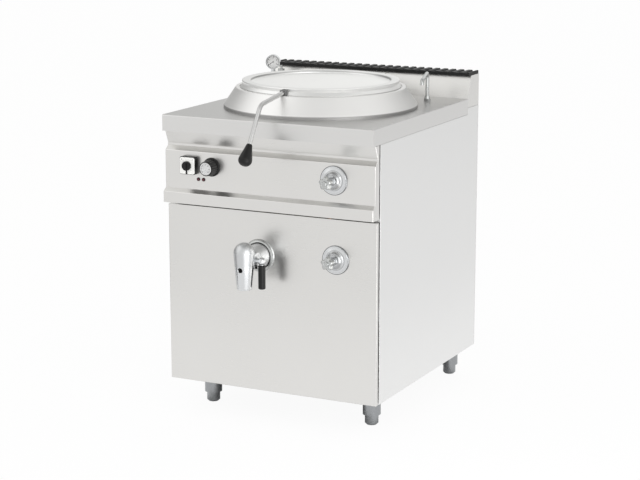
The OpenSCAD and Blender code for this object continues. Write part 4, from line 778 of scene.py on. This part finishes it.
# %% Gauge dial
GAUGE_TURN = math.radians(18.0)
gauge_out = np.array([math.sin(GAUGE_TURN), -math.cos(GAUGE_TURN), 0.0])
gauge_right = np.array([math.cos(GAUGE_TURN), math.sin(GAUGE_TURN), 0.0])
gauge_centre = drawn(-290, 600, 933)
at_dial = frame_at(gauge_centre, gauge_out)
CARD_OUT = -0.5
card_paint, card_shader, card_place = finish_of("card_paint", (0.9, 0.9, 0.88), 0.55)
radius, turns = dial_lines(card_place, gauge_centre, gauge_right, (0, 0, 1))
fine = ticks(radius, turns, 1 / 72, 0.00035, 0.0160, 0.0178, 0.35)
bold = ticks(radius, turns, 125 / 720, 0.0008, 0.0140, 0.0178, 0.36)
bold = (bold + fine + band(radius, 0.0180, 0.0184, 0.0001)).clamp()
paper = card_place.noise(700.0).mix((0.9, 0.9, 0.89, 1), (0.95, 0.95, 0.94, 1))
feed(bold.mix(paper, (0.02, 0.02, 0.02, 1)), card_shader, "Base Color")
feed(0.5 + card_place.noise(300.0) * 0.1, card_shader, "Roughness")
card_disc = [(0.0, -5.0), (19.7, -5.0), (19.7, CARD_OUT - 0.2), (19.5, CARD_OUT), (0.0, CARD_OUT)]
piece_from("gauge_card", [turned(card_disc, at_dial)], card_paint, "cabinet",
           ["gauge_dial"], 40)
NUMBERS_R, FIRST_NUMBER, NUMBER_STEP = 11.2, -125, 62.5
for number in range(5):
    angle = math.radians(FIRST_NUMBER + number * NUMBER_STEP)
    spot = at_dial([[NUMBERS_R * math.sin(angle), NUMBERS_R * math.cos(angle),
                     CARD_OUT + 0.03]])[0]
    printed(f"gauge_number_{number}", str(number), 0.0056, spot, gauge_right, (0, 0, 1),
            needle_black, "cabinet")

# %% [markdown]
# ## The drain tap
# The tap is one casting: a horizontal barrel, a spout that narrows downwards under
# a dome, and a boss for the plug. In a casting every inner corner has a fillet. The
# three bodies are turned skins that run into each other. They are rebuilt together
# in small even faces, which joins them, and relaxed, which rounds the corners. The
# round hole in the front is a dent: points near its axis are pushed in.


# %% Casting helpers
def applied(mesh, modifiers):
    """The mesh after modifiers, each a (kind, settings) pair, are worked out."""
    worker = bpy.data.objects.new("worker", mesh)
    bpy.context.collection.objects.link(worker)
    for kind, settings in modifiers:
        made = worker.modifiers.new(kind.lower(), kind)
        for name, value in settings.items():
            setattr(made, name, value)
    bpy.context.view_layer.update()
    result = bpy.data.meshes.new_from_object(
        worker.evaluated_get(bpy.context.evaluated_depsgraph_get()))
    bpy.data.objects.remove(worker)
    return result


def corners_of(mesh):
    """The mesh's points as rows of an array."""
    corners = np.empty(len(mesh.vertices) * 3)
    mesh.vertices.foreach_get("co", corners)
    return corners.reshape(-1, 3)


print("casting helpers ready")


# %% Drain tap
TAP_X, TAP_Y, PLUG_Y = -33.0, -61.0, -36.0
SPOUT_END, TAP_Z, DOME_Z, HOLE_Z = 399.0, 476.0, 500.0, 456.0
DOME_R, SPOUT_R, MOUTH_R = 29.0, 20.6, 17.6
at_spout = frame_at(drawn(TAP_X, TAP_Y, SPOUT_END), (0, 0, 1), (0, 1, 0))
at_barrel = frame_at(drawn(TAP_X, DOOR_SET, TAP_Z), (0, -1, 0))
at_boss = frame_at(drawn(TAP_X, PLUG_Y, TAP_Z), (1, 0, 0))
rise = DOME_Z - SPOUT_END
quarter = np.linspace(0, math.pi / 2, 14)
dome = [(DOME_R * math.cos(a), rise + DOME_R * math.sin(a)) for a in quarter]
spout = [(0.0, 30.0), (MOUTH_R, 30.0), (MOUTH_R, 0.8), (MOUTH_R + 0.7, 0.0), (SPOUT_R - 0.6, 0.0),
         (SPOUT_R, 0.8), (SPOUT_R + 4.4, 50.0), *dome[:-1], (0.0, rise + DOME_R)]
barrel = [(0.0, 0.3), (37.8, 0.3), (34.5, 14.0), (29.5, 34.0), (27.5, 46.0), (27.2, 80.0),
          (0.0, 86.0)]
boss = [(0.0, 0.0), (24.0, 0.0), (24.0, 26.6), (22.6, 28.0), (0.0, 28.0)]
rough_tap = mesh_of("rough_tap", [turned(spout, at_spout, 96), turned(barrel, at_barrel, 96),
                                  turned(boss, at_boss, 96)])
tap_mesh = applied(rough_tap, [("REMESH", {"mode": "VOXEL", "voxel_size": 0.0009}),
                               ("SMOOTH", {"factor": 0.5, "iterations": 14})])
corners = corners_of(tap_mesh)
hole = drawn(TAP_X, TAP_Y, HOLE_Z)
HOLE_R, HOLE_SOFT, HOLE_DEEP, FRONT_HALF = 0.0073, 0.0014, 0.009, 0.015
off_axis = np.hypot(corners[:, 0] - hole[0], corners[:, 2] - hole[2])
dent = np.clip((HOLE_R - off_axis) / HOLE_SOFT, 0, 1)
dent = dent * dent * (3 - 2 * dent) * (corners[:, 1] < hole[1] - FRONT_HALF)
corners[:, 1] += dent * HOLE_DEEP
tap_mesh.vertices.foreach_set("co", corners.ravel())

# The hole's wall is painted near black as its shade. Above the hole the chrome is rougher,
# where hands wear the polish, and its colour is painted a little darker as shade.
tap_chrome, tap_shader, tap_place = finish_of("tap_chrome", (0.66, 0.67, 0.68), 0.2, 1.0)
across, deep, high = tap_place.moved(tuple(-hole)).axes()
near_hole = 1.0 - distance(across, high).ramp(0.0064, 0.0074)
painted_hole_shade = near_hole * deep.ramp(-0.0245, -0.0215) * (1.0 - deep.ramp(-0.012, -0.010))
smear = tap_place.noise(14.0, detail=2.0)
polish = smear.mix((0.64, 0.65, 0.66, 1), (0.7, 0.71, 0.72, 1))
wear_and_shade = high.ramp(0.0, 0.012)
feed(painted_hole_shade.mix(polish.scaled(1.0 - wear_and_shade * 0.14), INK_AND_SHADE), tap_shader, "Base Color")
feed((0.16 + wear_and_shade * 0.16 + tap_place.noise(160.0, detail=4.0) * 0.06 + painted_hole_shade * 0.4).clamp(),
     tap_shader, "Roughness")
finished("tap_casting", tap_mesh, tap_chrome, "cabinet", ["tap_body"])

# %% [markdown]
# ## Folded sheet and cast ribs
# Real sheet is bent round a radius and its cut edges are dulled. A copy of each
# sheet piece is merged and its flat faces joined, and then a bevel rounds the long
# folds more than the cut edges. Large faces are shaded flat, so the bend's shading
# doesn't run into them. The grille's ribs get their cast roundness the same way.

# %% Folds
LARGE_FACE, CUT_EDGE = 1e-4, 0.0004


def folded_copy(node, name, fold, edge, material, broad=0.006):
    """A frame piece with its outer edges rounded: by fold metres between broad faces and
    by edge metres elsewhere. A face is broad if twice its area over its outline's
    length, about its width, is more than broad. The copy stays in the piece's own box."""
    mesh = nodes[node].data.copy()
    work = bmesh.new()
    work.from_mesh(mesh)
    bmesh.ops.remove_doubles(work, verts=work.verts, dist=1e-6)
    bmesh.ops.dissolve_limit(work, angle_limit=math.radians(1.0), verts=work.verts,
                             edges=work.edges)
    weights = work.edges.layers.float.new("bevel_weight_edge")
    for line in work.edges:
        if len(line.link_faces) != 2 or line.calc_face_angle_signed(0.0) < math.radians(20):
            continue
        narrow = min(2 * f.calc_area() / sum(e.calc_length() for e in f.edges)
                     for f in line.link_faces)
        line[weights] = 1.0 if narrow > broad else edge / fold
    work.to_mesh(mesh)
    work.free()
    mesh = applied(mesh, [("BEVEL", {"width": fold, "segments": 3, "limit_method": "WEIGHT",
                                     "use_clamp_overlap": True})])
    box = np.array([corner[:] for corner in nodes[node].bound_box])
    inside_box = np.clip(corners_of(mesh), box.min(axis=0), box.max(axis=0))
    mesh.vertices.foreach_set("co", inside_box.ravel())
    finished(name, mesh, material, "cabinet", [node], 40)
    areas = np.empty(len(mesh.polygons))
    mesh.polygons.foreach_get("area", areas)
    mesh.polygons.foreach_set("use_smooth", areas < LARGE_FACE)


SHEETS = [("worktop", 0.003, top_steel), ("upstand", 0.002, front_steel),
          ("control_panel", 0.0025, front_steel), ("front_panel", 0.002, front_steel),
          ("side_panel_left", 0.0015, side_steel), ("side_panel_right", 0.0015, side_steel)]
for node, fold, material in SHEETS:
    folded_copy(node, node + "_folded", fold, CUT_EDGE, material)
folded_copy("flue_grille", "grille_cast", 0.0022, 0.0006, grille_enamel, 0.003)

# %% [markdown]
# ## Light
# Steel shows what is round it, so the room itself is the main light. It is a
# pale studio with two soft dark sides, to the left and behind on the right:
# photographers stand dark cards there, because without them the edges of bright
# metal melt into a white background. The camera itself sees plain white. Three wide
# lamps add a direction and the soft bright patches in the chrome.

# %% The room
world = bpy.data.worlds.new("studio")
bpy.context.scene.world = world
world.use_nodes = True
world_tree = world.node_tree
world_tree.nodes.clear()
direction = Wire(world_tree, world_tree.nodes.new("ShaderNodeTexCoord").outputs["Generated"])


def card(towards, start, depth, top):
    """How much a soft dark side takes away: towards is where it stands, start the
    cosine at which it begins, and top the height at which it has faded out."""
    return direction.along(towards).ramp(start, 1.0) * (1.0 - height.ramp(0.25, top)) * depth


height = direction.axes()[2]
room = (1.0 - height.ramp(0.75, 1.0) * 0.45
        - card((-0.97, 0.24, 0.0), 0.45, 0.68, 0.75)
        - card((0.64, 0.77, 0.0), 0.6, 0.6, 0.75)).clamp()
ray = world_tree.nodes.new("ShaderNodeLightPath")
seen = (Wire(world_tree, ray.outputs["Is Camera Ray"])
        + Wire(world_tree, ray.outputs["Is Transmission Ray"])).clamp()
grey = room.node("ShaderNodeCombineColor", {}, {"Red": room, "Green": room, "Blue": room * 0.99})
shade = seen.mix(grey, (1.0, 1.0, 1.0, 1.0))
background = world_tree.nodes.new("ShaderNodeBackground")
world_tree.links.new(shade.socket, background.inputs["Color"])
output = world_tree.nodes.new("ShaderNodeOutputWorld")
world_tree.links.new(background.outputs[0], output.inputs["Surface"])
print("room:", world.name)


# %% Lamps
def wide_lamp(name, place, target, size, watts):
    """A square area lamp that faces a target."""
    data = bpy.data.lights.new(name, "AREA")
    data.shape, data.size, data.energy = "SQUARE", size, watts
    lamp = bpy.data.objects.new(name, data)
    bpy.context.collection.objects.link(lamp)
    away = (Vector(place) - Vector(target)).normalized()
    lamp.rotation_euler = away.to_track_quat("Z", "Y").to_euler()
    lamp.location = place
    lamp.visible_camera = False
    print(name, watts, "W")


wide_lamp("key_lamp", (-3.3, -1.9, 3.0), (0, 0, 0.6), 5.0, 26)
wide_lamp("fill_lamp", (3.2, -2.2, 1.6), (0, 0, 0.5), 2.6, 30)
wide_lamp("low_lamp", (0.95, -1.05, 0.03), (-0.03, -0.37, 0.42), 1.2, 10)


# %% [markdown]
# ## A card and the floor
# A small dark card at the left gives the tap's chrome its dark edge, and nothing but
# reflections sees it. The floor is plain and pale. To the camera and in the steel it is
# nearly as white as the background, with a faint shadow left in it. Only under the
# cabinet do the legs see the real, shaded paint, which gives them their darker side.


# %% Card
def sheet_on_stage(name, corners, paint):
    """A flat four-cornered sheet that belongs to the studio and not to the object."""
    mesh = bpy.data.meshes.new(name)
    mesh.from_pydata(corners, [], [(0, 1, 2, 3)])
    mesh.materials.append(paint)
    sheet = bpy.data.objects.new(name, mesh)
    bpy.context.collection.objects.link(sheet)
    sheet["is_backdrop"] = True
    print(name, "on stage")
    return sheet


card_black = (0.06, 0.06, 0.06)
black_paint, black_shader, black_place = finish_of("left_card_paint", card_black, 0.9)
feed(black_place.noise(6.0).mix((*card_black, 1.0), tuple(c * 0.8 for c in card_black) + (1.0,)),
     black_shader, "Base Color")
CARD_X, CARD_FRONT, CARD_BACK, CARD_LOW, CARD_TOP = -0.95, -0.75, -0.36, 0.1, 0.42
left_card = sheet_on_stage("left_card",
                           [(CARD_X, CARD_FRONT, CARD_LOW), (CARD_X, CARD_BACK, CARD_LOW),
                            (CARD_X, CARD_BACK, CARD_TOP), (CARD_X, CARD_FRONT, CARD_TOP)],
                           black_paint)
left_card.visible_camera = left_card.visible_shadow = left_card.visible_diffuse = False

# %% Floor
SPAN, WHITENESS, UNDER_MIDDLE = 14.0, 0.94, 0.06
floor_paint, floor_shader, floor_place = finish_of("floor_paint", (0.93, 0.93, 0.93), 0.9)
feed(floor_place.noise(2.0).mix((0.925, 0.925, 0.925, 1), (0.935, 0.935, 0.935, 1)),
     floor_shader, "Base Color")
floor_tree = floor_paint.node_tree
glow = floor_tree.nodes.new("ShaderNodeEmission")
glow.inputs["Color"].default_value = (1.0, 1.0, 1.0, 1.0)
floor_path = floor_tree.nodes.new("ShaderNodeLightPath")
aside, deep, _ = floor_place.moved((0.0, -UNDER_MIDDLE, 0.0)).axes()
under = ((1.0 - aside.maths("ABSOLUTE").ramp(0.27, 0.34))
         * (1.0 - deep.maths("ABSOLUTE").ramp(0.32, 0.39)))
floor_ray = (Wire(floor_tree, floor_path.outputs["Is Camera Ray"])
             + Wire(floor_tree, floor_path.outputs["Is Glossy Ray"]) * (1.0 - under)
             + Wire(floor_tree, floor_path.outputs["Is Transmission Ray"])).clamp()
blend = floor_tree.nodes.new("ShaderNodeMixShader")
floor_tree.links.new((floor_ray * WHITENESS).socket, blend.inputs["Fac"])
floor_tree.links.new(floor_shader.outputs[0], blend.inputs[1])
floor_tree.links.new(glow.outputs[0], blend.inputs[2])
floor_tree.links.new(blend.outputs[0], floor_tree.nodes["Material Output"].inputs["Surface"])
sheet_on_stage("floor", [(-SPAN, -SPAN, 0), (SPAN, -SPAN, 0), (SPAN, SPAN, 0), (-SPAN, SPAN, 0)],
               floor_paint)

# %% [markdown]
# ## Sizes
# The dressed object's box is kept beside the frame's own box, so the two can be
# compared: a finer surface must not make the object any larger.

# %% Sizes
dressed_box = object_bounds()
sizes = {"cad": [list(map(float, corner)) for corner in cad_box],
         "visual": [list(map(float, corner)) for corner in dressed_box]}
print("box", sizes["visual"])
